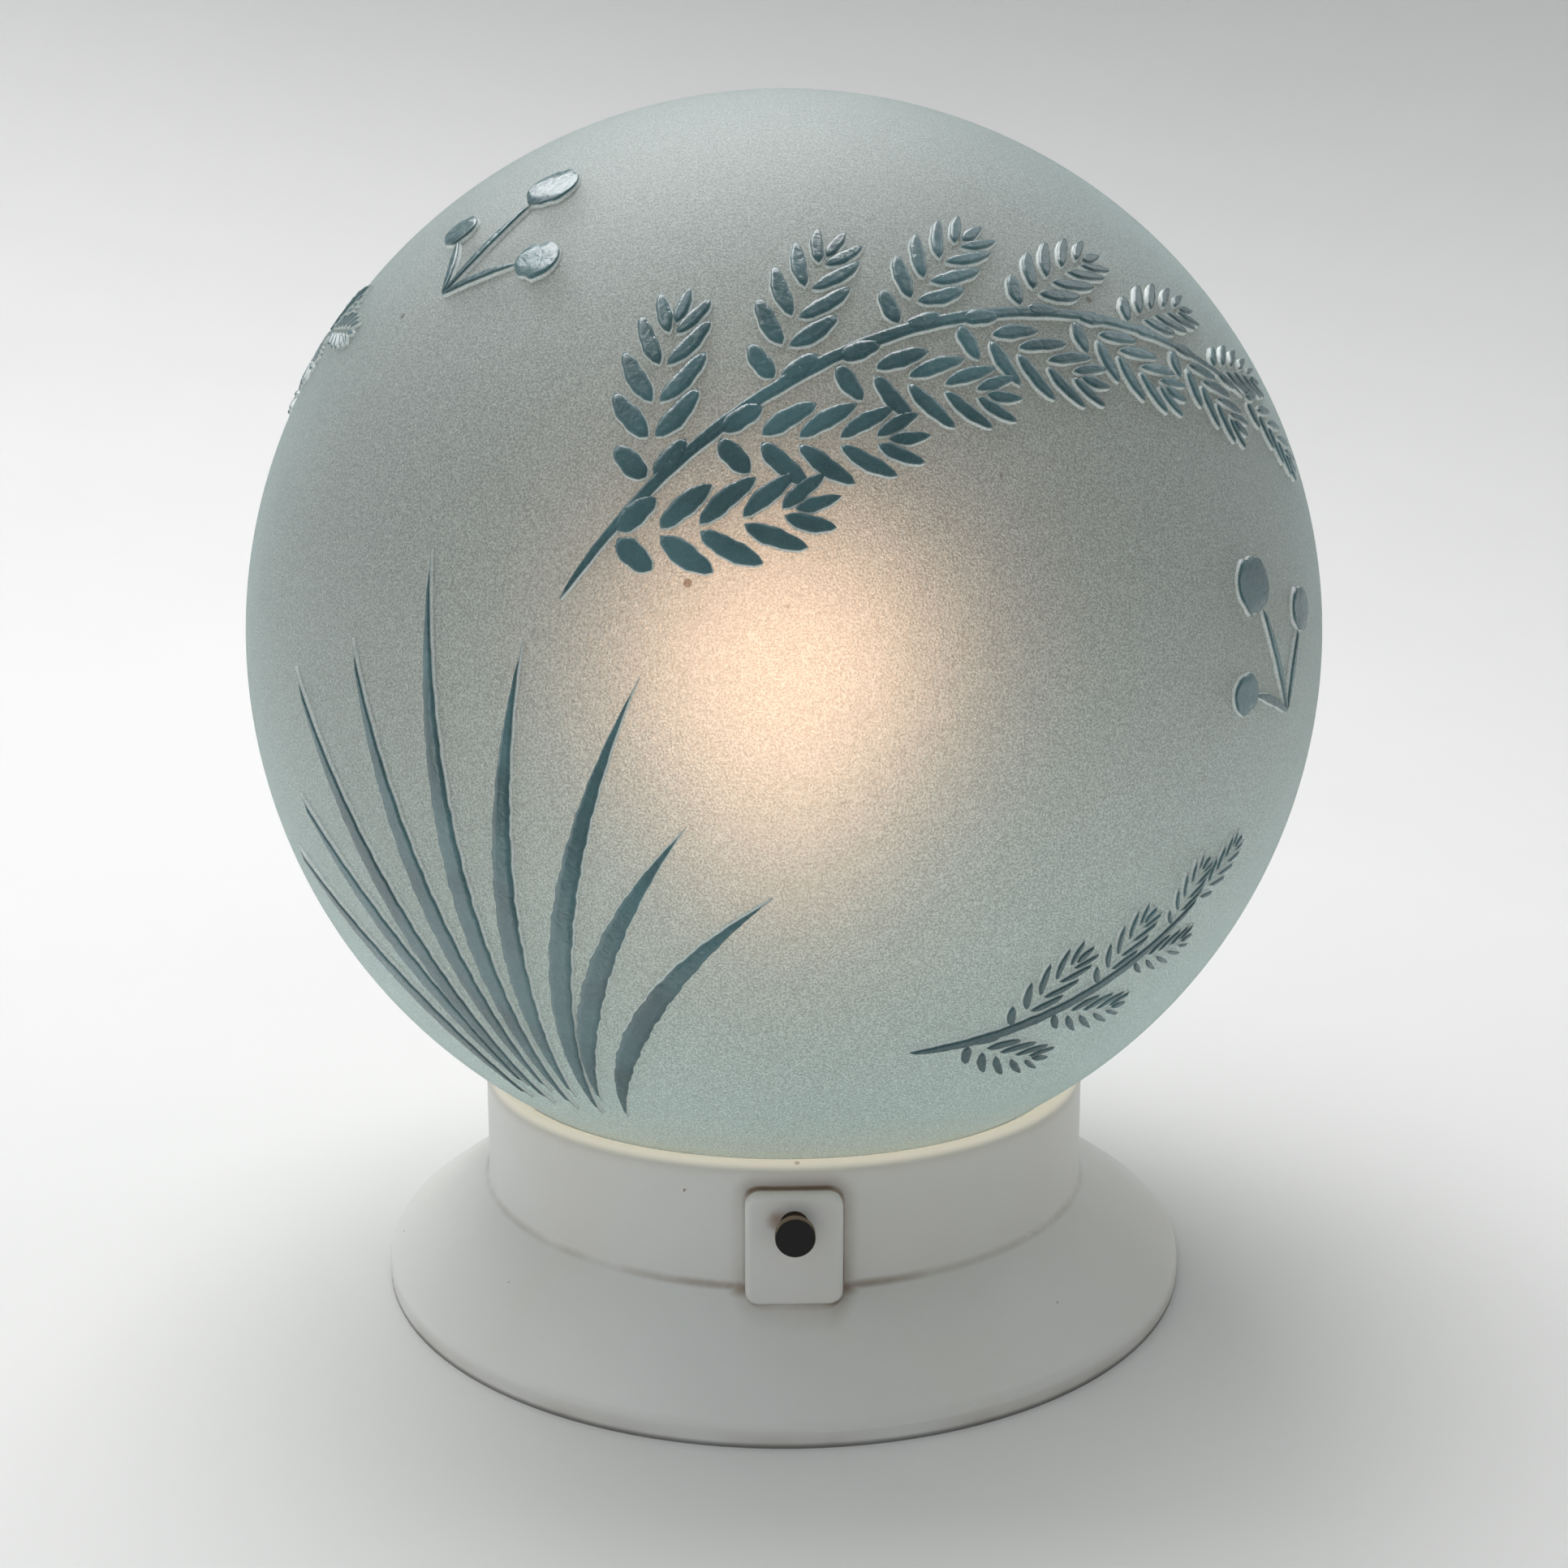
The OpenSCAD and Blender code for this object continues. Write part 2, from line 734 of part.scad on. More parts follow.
module bulb_filament()
    color([0.45, 0.44, 0.42])
        translate([0, 0, filament_z])
            rotate([0, 0, -filament_arc / 2])
                rotate_extrude(angle = filament_arc)
                    translate([filament_ring_d / 2, 0])
                        circle(d = filament_d);

globe();
base_shell();
mounting_strap();
strap_screws();
captive_nuts();
clamp_screw(0);  // clamp_screw_front
clamp_screw(1);  // clamp_screw_right
clamp_screw(2);  // clamp_screw_left
soft_tip(0);  // soft_tip_front
soft_tip(1);  // soft_tip_right
soft_tip(2);  // soft_tip_left
lampholder_body();
thread_sleeve();
spring_strip();
rivets();
terminal(-1);  // terminal_live
terminal(1);  // terminal_neutral
terminal_screws();
holder_screws();
holder_nuts();
bulb_glass();
bulb_cap();
bulb_insulator();
bulb_tip();
bulb_stem();
bulb_leads();
bulb_filament();
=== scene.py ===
"""Ceiling lamp: a frosted glass globe with polished leaf relief, clamped in a white moulded base."""
import math

import bpy
import numpy as np
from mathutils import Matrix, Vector


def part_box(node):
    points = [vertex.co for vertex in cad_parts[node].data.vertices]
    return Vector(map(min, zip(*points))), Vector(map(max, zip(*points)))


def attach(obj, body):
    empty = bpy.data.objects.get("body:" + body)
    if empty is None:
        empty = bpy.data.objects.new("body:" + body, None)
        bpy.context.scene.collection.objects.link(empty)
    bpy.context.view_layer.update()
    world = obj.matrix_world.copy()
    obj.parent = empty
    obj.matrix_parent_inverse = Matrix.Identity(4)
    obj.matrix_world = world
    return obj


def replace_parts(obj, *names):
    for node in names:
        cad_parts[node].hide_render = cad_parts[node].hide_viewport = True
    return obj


bl_info = {
    "name": "Frosted globe ceiling lamp",
    "version": (1, 0, 0),
    "blender": (4, 5, 0),
    "location": "View3D > Sidebar > Lamp",
    "description": "Dresses the ceiling lamp: globe, relief, moulded base, screws, lampholder and bulb",
    "category": "Object",
}

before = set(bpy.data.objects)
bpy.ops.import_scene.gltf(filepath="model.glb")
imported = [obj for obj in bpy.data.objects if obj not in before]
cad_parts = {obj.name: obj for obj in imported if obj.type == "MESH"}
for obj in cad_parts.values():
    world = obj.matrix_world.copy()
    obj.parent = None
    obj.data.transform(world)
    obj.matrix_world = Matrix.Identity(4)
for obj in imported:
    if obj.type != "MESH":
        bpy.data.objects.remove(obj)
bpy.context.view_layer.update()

MM = 0.001
TURN = 2 * math.pi
UP = np.array([0.0, 0.0, 1.0])

# Which way each clamp screw points, in degrees from +X
SCREW_SIDES = {"front": -90.0, "right": 30.0, "left": 150.0}

# Places that the frame gives
GLOBE_MOUTH, GLOBE_TOP = (corner.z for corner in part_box("globe"))
SCREW_HEIGHT = sum(corner.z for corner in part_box("clamp_screw_front")) / 2
SCREW_FACE = -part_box("clamp_screw_front")[0].y
CAP_FOOT, CAP_TOP = (corner.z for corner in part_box("bulb_cap"))
SLEEVE_FOOT, SLEEVE_TOP = (corner.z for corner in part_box("thread_sleeve"))
BULB_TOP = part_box("bulb_glass")[1].z
FILAMENT_HEIGHT = sum(corner.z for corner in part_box("bulb_filament")) / 2


def length(name, description, default):
    """A length in metres, shown in the scene's unit."""
    return bpy.props.FloatProperty(
        name=name, description=description, default=default, subtype="DISTANCE", unit="LENGTH", precision=5
    )


def angle(name, description, degrees):
    """An angle, written in degrees and kept in radians."""
    return bpy.props.FloatProperty(
        name=name, description=description, default=math.radians(degrees), subtype="ANGLE", unit="ROTATION"
    )


def colour(name, description, default):
    """A linear colour with alpha 1."""
    return bpy.props.FloatVectorProperty(
        name=name, description=description, default=(*default, 1.0), size=4, subtype="COLOR",
        min=0.0, max=1.0
    )


def share(name, description, default):
    """A plain number."""
    return bpy.props.FloatProperty(name=name, description=description, default=default, min=0.0)


class LampSizes(bpy.types.PropertyGroup):
    """Sizes of the glass, its relief, the base, the threads and the bulb."""

    globe_radius: length("Globe radius", "Outer radius of the glass globe", 0.1)
    glass_wall: length("Glass wall", "Thickness of the glass", 0.003)
    neck_radius: length("Neck radius", "Outer radius of the waist under the globe", 0.047)
    neck_fillet: length("Neck fillet", "Radius between the globe and its neck", 0.004)
    bead_reach: length("Bead reach", "Outer radius of the bead round the mouth", 0.0512)
    bead_radius: length("Bead radius", "Half the thickness of that bead", 0.0026)
    relief_height: length("Relief height", "How far the relief stands above the frosted skin", 0.0008)
    relief_sink: length("Relief sink", "How deep the relief is rooted in the glass", 0.0004)
    collar_radius: length("Collar radius", "Outer radius of the collar", 0.06)
    flange_rise: length("Flange rise", "Height at which the flange meets the collar", 0.017)
    flange_fall: share("Flange fall", "How far the flange falls for each millimetre outwards", 0.68)
    boss_half: length("Boss half width", "Half the width of a screw's boss", 0.0081)
    boss_corner: length("Boss corner", "Radius of a boss's corners, seen from the front", 0.0024)
    boss_top: length("Boss top", "Height of the top of a boss", 0.034)
    boss_face: length("Boss face", "Distance of a boss's face from the lamp's axis", 0.063)
    screw_thread: length("Screw thread", "Outer radius of a clamp screw's thread", 0.0023)
    screw_shank: length("Screw shank", "Radius of a clamp screw's shank", 0.002)
    screw_pitch: length("Screw pitch", "Pitch of a clamp screw", 0.0007)
    thread_start: length("Thread start", "Distance of the thread's start from the lamp's axis", 0.0596)
    head_radius: length("Head radius", "Radius of a clamp screw's head", 0.0033)
    screw_head: length("Screw head", "Height of a clamp screw's head", 0.0014)
    cap_crest: length("Cap crest", "Outer radius of the bulb cap's rolled thread", 0.01315)
    sleeve_crest: length("Sleeve crest", "Outer radius of the socket's rolled sleeve", 0.014)
    sleeve_hole: length("Sleeve hole", "Radius of the hole in the sleeve's floor", 0.009)
    roll_depth: length("Roll depth", "Depth of the rolled thread", 0.0004)
    roll_pitch: length("Roll pitch", "Pitch of the rolled thread", 0.00363)
    sheet: length("Sheet", "Thickness of the rolled sheet", 0.0004)
    bulb_radius: length("Bulb radius", "Radius of the bulb", 0.03)
    bulb_neck: length("Bulb neck", "Radius of the bulb's neck in its cap", 0.0116)
    bulb_wall: length("Bulb wall", "Thickness of the bulb's glass", 0.001)
    filament_ring: length("Filament ring", "Radius of the ring that the filament runs round", 0.012)
    filament_coil: length("Filament coil", "Radius of the filament's coil", 0.0005)
    filament_wire: length("Filament wire", "Radius of the filament's wire", 0.00012)


class LampColours(bpy.types.PropertyGroup):
    """Colours of the finishes."""

    frost: colour("Frost", "Sandblasted glass", (0.885, 0.955, 0.935))
    frost_deep: colour("Deep frost", "Sandblasted glass low on the globe", (0.85, 0.94, 0.925))
    sheen: colour("Sheen", "Pale edge of the sandblasted skin", (0.60, 0.93, 0.95))
    # The polished colour is painted shade: a dark teal for the dim inside of the globe, seen through the
    # clear relief
    polished: colour("Polished glass", "Relief that the blast didn't touch", (0.060, 0.122, 0.134))
    moulding: colour("Moulding", "White plastic of the base", (0.74, 0.745, 0.73))
    moulding_aged: colour("Aged moulding", "Plastic that has yellowed", (0.70, 0.675, 0.60))
    # This brown is dirt, and also paints shade into the base's corners and onto its lip
    grime_and_shade: colour("Grime", "Brown dirt in the corners", (0.19, 0.10, 0.036))
    rust: colour("Rust", "Stain by the clamp screw", (0.30, 0.115, 0.03))
    black_oxide: colour("Black oxide", "Clamp screws", (0.007, 0.0065, 0.0065))
    zinc: colour("Zinc", "Plated steel", (0.60, 0.61, 0.62))
    brass: colour("Brass", "Contacts and terminals", (0.72, 0.50, 0.20))
    aluminium: colour("Aluminium", "The bulb's cap", (0.72, 0.72, 0.71))
    solder: colour("Solder", "The bulb's tip", (0.52, 0.53, 0.55))
    tungsten: colour("Tungsten", "Filament and its wires", (0.30, 0.29, 0.28))
    porcelain: colour("Porcelain", "The lampholder", (0.82, 0.80, 0.74))
    soft_tip: colour("Soft tip", "Tips of the clamp screws", (0.56, 0.53, 0.46))
    worn_steel: colour("Worn steel", "Edges where the black has rubbed off", (0.21, 0.155, 0.10))
    insulator: colour("Insulator", "Black glass under the bulb's cap", (0.01, 0.01, 0.014))
    bubbles: colour("Bubbles", "Bubbles in the black glass", (0.05, 0.05, 0.065))
    stem: colour("Stem", "Clear glass of the bulb's stem", (0.93, 0.96, 0.96))
    draw_lines: colour("Draw lines", "Lines along the clear glass", (0.88, 0.94, 0.95))
    pearl: colour("Pearl", "White coating of the bulb", (0.86, 0.84, 0.79))
    pearl_pale: colour("Pale pearl", "The same coating where it is thick", (0.92, 0.90, 0.86))
    glow: colour("Glow", "Light of the bulb", (1.0, 0.58, 0.37))
    # These two colours are painted glow: emission on the glass and on the rim, which are no lamp
    painted_glass_glow: colour("Glass light", "Light that the glass carries to its foot", (0.74, 0.93, 0.89))
    painted_rim_glow: colour("Rim light", "The same light close to the rim", (1.0, 0.90, 0.70))
    floor: colour("Floor", "Table and wall round the lamp", (0.79, 0.79, 0.78))
    sky: colour("Sky", "Light from all round", (0.84, 0.88, 0.92))


class LampStage(bpy.types.PropertyGroup):
    """Camera, lights and floor."""

    camera_distance: length("Camera distance", "From the camera to the point it looks at", 0.29103)
    camera_target: length("Target height", "Height of the point that the camera looks at", 0.09317)
    camera_pitch: angle("Camera pitch", "How far the camera looks down", 8.018)
    camera_turn: angle("Camera turn", "Camera's turn about the lamp, negative to the left", -1.55)
    camera_lens: share("Lens", "Focal length on a 36 mm sensor, in millimetres", 33.28)
    bulb_power: share("Bulb power", "Strength of the bulb's glow", 4.15)
    # Glass and rim power set painted glow: emission on the glass and the rim, which are no lamp
    painted_glass_glow_power: share("Glass power", "Strength of the light carried in the glass", 0.15)
    painted_rim_glow_power: share("Rim power", "Strength of the light that shows through the rim", 0.3)
    sky_power: share("Sky power", "Strength of the light from all round", 0.27)
    floor_radius: length("Floor radius", "Radius of the flat floor", 0.7)
    sweep_radius: length("Sweep radius", "Radius of the curve from the floor up to the wall", 2.4)
    wall_height: length("Wall height", "Height of the wall above the curve", 0.2)


def sizes():
    """The scene's sizes."""
    return bpy.context.scene.lamp_sizes


def colours():
    """The scene's colours."""
    return bpy.context.scene.lamp_colours


def stage():
    """The scene's camera, lights and floor."""
    return bpy.context.scene.lamp_stage


# Meshes from arrays

NO_TRIANGLES = np.zeros((0, 3), int)

# Points round the globe, and round the bulb, its cap and the sleeve
GLOBE_POINTS, SMALL_POINTS = 288, 96


def grid_quads(rows, columns, closed_rows=False, closed_columns=False):
    """Quads of a grid of points, numbered row by row. A closed way joins its last line to its first."""
    i = np.arange(rows if closed_rows else rows - 1)[:, None]
    j = np.arange(columns if closed_columns else columns - 1)[None, :]
    below, beside = (i + 1) % rows, (j + 1) % columns
    corners = [i * columns + j, i * columns + beside, below * columns + beside, below * columns + j]
    return np.stack(np.broadcast_arrays(*corners), axis=-1).reshape(-1, 4)


def capped_tube(rings):
    """A closed tube through rings of points, an array of rings by points by 3.

    A fan to the mean of each end ring closes it.
    """
    count, around = rings.shape[:2]
    points = np.concatenate([rings.reshape(-1, 3), rings[:1].mean(1), rings[-1:].mean(1)])
    j = np.arange(around)
    start = np.stack([(j + 1) % around, j, np.full(around, count * around)], axis=-1)
    base = (count - 1) * around
    end = np.stack([base + j, base + (j + 1) % around, np.full(around, count * around + 1)], axis=-1)
    return points, grid_quads(count, around, closed_columns=True), np.concatenate([start, end])


def turned_rings(r, z, around):
    """Radii and heights carried round Z: (r cos t, r sin t, z). The radii may differ round the turn."""
    turn = np.linspace(0.0, TURN, around, endpoint=False)
    return np.stack(np.broadcast_arrays(r * np.cos(turn), r * np.sin(turn), z), axis=-1)


def revolve(r, z, around):
    """A profile that starts and ends on the axis, carried round Z, with fans at the poles."""
    points, quads, triangles = capped_tube(turned_rings(r[1:-1, None], z[1:-1, None], around))
    points[-2:] = [[0.0, 0.0, z[0]], [0.0, 0.0, z[-1]]]
    return points, quads[:, ::-1], triangles[:, ::-1]


def sweep(path, outward, section):
    """A section carried along a path: point + section u times outward + section v times the side way.

    Outward is squared to the path's direction first, and the side way is their cross product.
    """
    ahead = np.gradient(path, axis=0)
    ahead /= np.linalg.norm(ahead, axis=1, keepdims=True)
    outward = outward - ahead * np.sum(outward * ahead, axis=1, keepdims=True)
    outward /= np.linalg.norm(outward, axis=1, keepdims=True)
    side = np.cross(ahead, outward)
    rings = path[:, None] + section[..., 0:1] * outward[:, None] + section[..., 1:2] * side[:, None]
    return capped_tube(rings)


def loop_shell(r, z, around):
    """A closed loop of radii and heights, carried round Z."""
    points = turned_rings(r, z, around).reshape(-1, 3)
    return points, grid_quads(len(z), around, True, True), NO_TRIANGLES


def rolled_shell(foot, top, crest, rows=90):
    """A thin sheet tube with a rolled thread: r = crest - depth (1 - cos(2 pi z / pitch - t)) / 2.

    The wave fades out over half a pitch at both edges, and the inner face follows the outer one.
    """
    s = sizes()
    turn = np.linspace(0.0, TURN, SMALL_POINTS, endpoint=False)
    z = np.linspace(foot, top, rows)[:, None]
    fade = np.clip(np.minimum(z - foot, top - z) / (0.5 * s.roll_pitch), 0.0, 1.0)
    outer = crest - s.roll_depth * fade * 0.5 * (1 - np.cos(TURN * z / s.roll_pitch - turn))
    r = np.concatenate([outer, outer[::-1] - s.sheet])
    return loop_shell(r, np.concatenate([z, z[::-1]]), SMALL_POINTS)


def make_piece(name, parts, body, material):
    """One smooth mesh object from parts, each (points, quads, triangles), riding on a CAD body."""
    starts = np.cumsum([0] + [len(points) for points, _, _ in parts])
    points = np.concatenate([part[0] for part in parts])
    quads = np.concatenate([part[1] + start for part, start in zip(parts, starts)])
    triangles = np.concatenate([part[2] + start for part, start in zip(parts, starts)])
    corners = np.concatenate([quads.ravel(), triangles.ravel()]).astype(np.int32)
    totals = np.concatenate([np.full(len(quads), 4), np.full(len(triangles), 3)])
    mesh = bpy.data.meshes.new(name)
    mesh.vertices.add(len(points))
    mesh.vertices.foreach_set("co", points.astype(np.float32).ravel())
    mesh.loops.add(len(corners))
    mesh.loops.foreach_set("vertex_index", corners)
    mesh.polygons.add(len(totals))
    mesh.polygons.foreach_set("loop_start", np.concatenate([[0], np.cumsum(totals)[:-1]]).astype(np.int32))
    mesh.polygons.foreach_set("use_smooth", np.ones(len(totals), bool))
    mesh.update(calc_edges=True)
    mesh.validate()
    mesh.materials.append(material)
    piece = bpy.data.objects.new(name, mesh)
    bpy.context.scene.collection.objects.link(piece)
    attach(piece, body)
    return piece


def dress(material, *nodes):
    """Gives CAD nodes a finish."""
    for name in nodes:
        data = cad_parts[name].data
        data.materials.clear()
        data.materials.append(material)


# Materials

# Grains to the metre in the blasted glass
BLAST_GRAIN = 3400.0


class Finish:
    """A node material on Object coordinates, with short ways to add its nodes."""

    def __init__(self, name):
        self.material = bpy.data.materials.new(name)
        self.material.use_nodes = True
        self.tree = self.material.node_tree
        self.tree.nodes.clear()
        self.output = self.tree.nodes.new("ShaderNodeOutputMaterial")
        self.coords = self.add("ShaderNodeTexCoord").outputs["Object"]

    def add(self, kind, inputs=None, **settings):
        """Adds a node. An input that is a socket is linked, and any other is set on the socket."""
        node = self.tree.nodes.new(kind)
        for key, value in settings.items():
            setattr(node, key, value)
        for key, value in (inputs or {}).items():
            if isinstance(value, bpy.types.NodeSocket):
                self.tree.links.new(value, node.inputs[key])
            else:
                node.inputs[key].default_value = value
        return node

    def math(self, operation, first, second=0.0):
        """A sum, product or other operation on one or two numbers."""
        return self.add("ShaderNodeMath", {0: first, 1: second}, operation=operation).outputs[0]

    def hypot(self, first, second):
        """The root of the sum of two squares."""
        squares = (self.math("MULTIPLY", value, value) for value in (first, second))
        return self.math("SQRT", self.math("ADD", *squares))

    def distance(self, *point):
        """How far the surface is from a point."""
        node = self.add("ShaderNodeVectorMath", {0: self.coords, 1: point}, operation="DISTANCE")
        return node.outputs["Value"]

    def noise(self, scale, detail=3.0, roughness=0.5, distortion=0.0, coords=None):
        """Soft noise from 0 to 1, with a scale in waves to the metre."""
        inputs = {
            "Vector": coords or self.coords, "Scale": scale, "Detail": detail,
            "Roughness": roughness, "Distortion": distortion,
        }
        return self.add("ShaderNodeTexNoise", inputs).outputs["Fac"]

    def cells(self, scale):
        """Distance to the nearest of many scattered points, with a scale in points to the metre."""
        node = self.add("ShaderNodeTexVoronoi", {"Vector": self.coords, "Scale": scale})
        return node.outputs["Distance"]

    def remap(self, value, low, high, to_low=0.0, to_high=1.0):
        """A smooth step from to_low, where the value is low, to to_high, where it is high."""
        inputs = {"Value": value, "From Min": low, "From Max": high, "To Min": to_low, "To Max": to_high}
        return self.add("ShaderNodeMapRange", inputs, interpolation_type="SMOOTHSTEP").outputs["Result"]

    def mix(self, factor, first, second):
        """A colour between two others. Inputs 6 and 7 and output 2 are the node's colours."""
        return self.add("ShaderNodeMix", {0: factor, 6: first, 7: second}, data_type="RGBA").outputs[2]

    def tone(self, tint, level):
        """A colour times a number."""
        return self.add("ShaderNodeVectorMath", {0: tint, "Scale": level}, operation="SCALE").outputs[0]

    def stretched(self, x, y, z):
        """Object coordinates, stretched along each axis."""
        return self.add("ShaderNodeMapping", {"Vector": self.coords, "Scale": (x, y, z)}).outputs[0]

    def turned(self, degrees):
        """X, Y and Z of the coordinates, turned about the lamp's axis."""
        turn = (0.0, 0.0, math.radians(degrees))
        mapped = self.add("ShaderNodeMapping", {"Vector": self.coords, "Rotation": turn}).outputs[0]
        return tuple(self.add("ShaderNodeSeparateXYZ", {0: mapped}).outputs)

    def bump(self, height, strength, distance):
        """Normals of a surface with fine heights, for a shader's Normal."""
        inputs = {"Height": height, "Strength": strength, "Distance": distance}
        return self.add("ShaderNodeBump", inputs).outputs[0]

    def shade(self, **values):
        """Ends the material in a Principled shader. Its inputs have underscores in place of spaces."""
        inputs = {key.replace("_", " "): value for key, value in values.items()}
        shader = self.add("ShaderNodeBsdfPrincipled", inputs)
        self.tree.links.new(shader.outputs[0], self.output.inputs["Surface"])
        return self.material


def scaled(tint, level):
    """A linear colour, lighter or darker."""
    return [min(1.0, part * level) for part in tint[:3]] + [1.0]


def above_globe(f):
    """Distance of a point from the globe's centre, less the globe's radius."""
    radius = sizes().globe_radius
    return f.math("SUBTRACT", f.distance(0.0, 0.0, GLOBE_TOP - radius), radius)


def spot(f, x, y, z, inner, outer):
    """A soft round mark: 1 within the inner radius of a point and 0 beyond the outer one."""
    return f.remap(f.distance(x, y, z), inner, outer, 1.0, 0.0)


def side_axes(f, side):
    """Across, outwards and up at the boss and the screw that point to a side, in degrees from +X."""
    across, inwards, up = f.turned(-90.0 - side)
    return across, f.math("MULTIPLY", inwards, -1.0), up


def frosted_glass():
    """Sandblasted outside and smooth inside: a glittering grain, specks of dirt, a deeper tint low down.

    A painted glow low on the globe, though it is no lamp: a faint emission, aqua, and cream close to the
    rim.
    """
    f = Finish("frosted_glass")
    s = sizes()
    height = f.turned(0.0)[2]
    blasted = f.remap(above_globe(f), -0.8 * s.glass_wall, -0.3 * s.glass_wall)
    grain = f.noise(BLAST_GRAIN, 2.0, 0.7)
    pits = f.cells(3000.0)
    cloud = f.noise(14.0, 4.0, 0.6)
    low = f.remap(height, GLOBE_MOUTH, GLOBE_TOP * 0.62, 1.0, 0.0)
    deep = f.math("ADD", low, f.remap(cloud, 0.3, 0.7, -0.2, 0.2))
    tint = f.mix(deep, colours().frost, colours().frost_deep)
    dirt = f.remap(f.cells(60.0), 0.028, 0.045, 0.85, 0.0)
    tint = f.mix(f.math("MULTIPLY", dirt, f.remap(cloud, 0.47, 0.52)), tint, colours().grime_and_shade)
    speckle = f.remap(grain, 0.36, 0.64, 0.5, 1.1)
    speckle = f.math("MULTIPLY", speckle, f.remap(pits, 0.1, 0.5, 1.15, 0.8))
    # Painted glow: an emission strongest low on the globe, cream close to the rim
    carried = f.remap(height, s.boss_top, GLOBE_TOP * 0.68, 1.0, 0.0)
    by_rim = f.remap(height, s.boss_top + 2 * MM, s.boss_top + 14 * MM, 0.75, 0.0)
    light = f.mix(by_rim, colours().painted_glass_glow, colours().painted_rim_glow)
    relief = f.math("ADD", grain, f.math("MULTIPLY", pits, 0.7))
    return f.shade(
        Base_Color=f.tone(tint, speckle), IOR=1.48, Transmission_Weight=0.72,
        Sheen_Weight=0.3, Sheen_Roughness=0.4, Sheen_Tint=colours().sheen,
        Roughness=f.math("MULTIPLY", blasted, f.remap(grain, 0.3, 0.7, 0.50, 0.72)),
        Emission_Color=f.tone(light, f.math("MULTIPLY", carried, speckle)),
        Emission_Strength=stage().painted_glass_glow_power, Normal=f.bump(relief, 0.42, 0.0002),
    )


def polished_glass():
    """Clear glass left proud of the blast: glossy on top with a painted shade of deep teal, and frosted
    sides.
    """
    f = Finish("polished_glass")
    peel = f.noise(900.0, 2.0, 0.5, 0.5)
    cloud = f.noise(70.0, 3.0)
    top = f.remap(above_globe(f), 0.45 * sizes().relief_height, 0.78 * sizes().relief_height)
    # Painted shade: the deep teal on top stands in for the dim inside of the globe, seen through the clear
    # relief
    tint = f.mix(f.remap(cloud, 0.35, 0.7), colours().polished, scaled(colours().polished, 1.6))
    grain = f.remap(f.noise(BLAST_GRAIN, 2.0, 0.7), 0.34, 0.66, 0.8, 1.05)
    frosted = f.tone(colours().frost[:3], grain)
    rough = f.math("SUBTRACT", f.remap(peel, 0.3, 0.7, 0.52, 0.66), f.math("MULTIPLY", top, 0.32))
    return f.shade(
        Base_Color=f.mix(top, frosted, tint), Roughness=rough, IOR=1.5, Transmission_Weight=0.12,
        Specular_IOR_Level=0.08, Normal=f.bump(peel, 0.3, 0.0004),
    )


def boss_dirt_and_shade(f, side):
    """Brown dirt and painted shade round one boss, where it meets the collar and the flange, as a number
    from 0 to 1.

    In the boss's own frame u runs across it, v out of the lamp and z up. Its outline is a rounded
    rectangle: with q = (|u| - half + corner, |z - middle| - half height + corner), the distance from it
    is |max(q, 0)| + min(max(q), 0) - corner.
    """
    s = sizes()
    u, v, z = side_axes(f, side)
    across = f.math("ABSOLUTE", u)
    foot = s.flange_rise - s.flange_fall * (s.boss_face - s.collar_radius)
    middle, half_height = (s.boss_top + foot) / 2, (s.boss_top - foot) / 2
    wide = f.math("SUBTRACT", across, s.boss_half - s.boss_corner)
    high = f.math("ABSOLUTE", f.math("SUBTRACT", z, middle))
    high = f.math("SUBTRACT", high, half_height - s.boss_corner)
    outside = f.hypot(f.math("MAXIMUM", wide, 0.0), f.math("MAXIMUM", high, 0.0))
    inside = f.math("MINIMUM", f.math("MAXIMUM", wide, high), 0.0)
    edge = f.math("SUBTRACT", f.math("ADD", outside, inside), s.boss_corner)
    flange_tip = s.flange_rise + s.flange_fall * s.collar_radius
    flange = f.math("SUBTRACT", flange_tip, f.math("MULTIPLY", v, s.flange_fall))
    on_flange = f.remap(f.math("SUBTRACT", z, flange), 0.2 * MM, 0.9 * MM, 1.0, 0.0)
    on_collar = f.remap(v, s.collar_radius + 0.3 * MM, s.collar_radius + 1.4 * MM, 1.0, 0.0)
    outer_face = f.remap(v, s.collar_radius - 1.6 * MM, s.collar_radius - 1.2 * MM)
    where = f.math("MULTIPLY", outer_face, f.math("MAXIMUM", on_collar, on_flange))
    heavy = f.math("MAXIMUM", f.remap(z, s.boss_top - 2 * MM, s.boss_top, 0.45, 1.0),
                   f.remap(u, 0.5 * s.boss_half, s.boss_half, 0.45, 0.9))
    # Brown dirt and painted shade: a dark line and a fading halo round the boss's edge, and smudges by its
    # lower corners
    line = f.math("MULTIPLY", f.remap(edge, 0.0, 1.0 * MM, 1.0, 0.0), heavy)
    halo = f.math("MULTIPLY", f.remap(edge, 0.0, 3.2 * MM, 0.46, 0.0), heavy)
    ring = f.math("MULTIPLY", f.math("MAXIMUM", line, halo), f.remap(edge, -0.6 * MM, -0.1 * MM))
    beside = f.math("MULTIPLY", f.math("SUBTRACT", across, s.boss_half + 0.4 * MM), 0.5)
    smudge = f.hypot(beside, f.math("SUBTRACT", z, s.flange_rise - 0.4 * MM))
    dirt = f.math("MAXIMUM", ring, f.remap(smudge, 0.1 * MM, 1.6 * MM, 0.75, 0.0))
    return f.math("MULTIPLY", dirt, where)


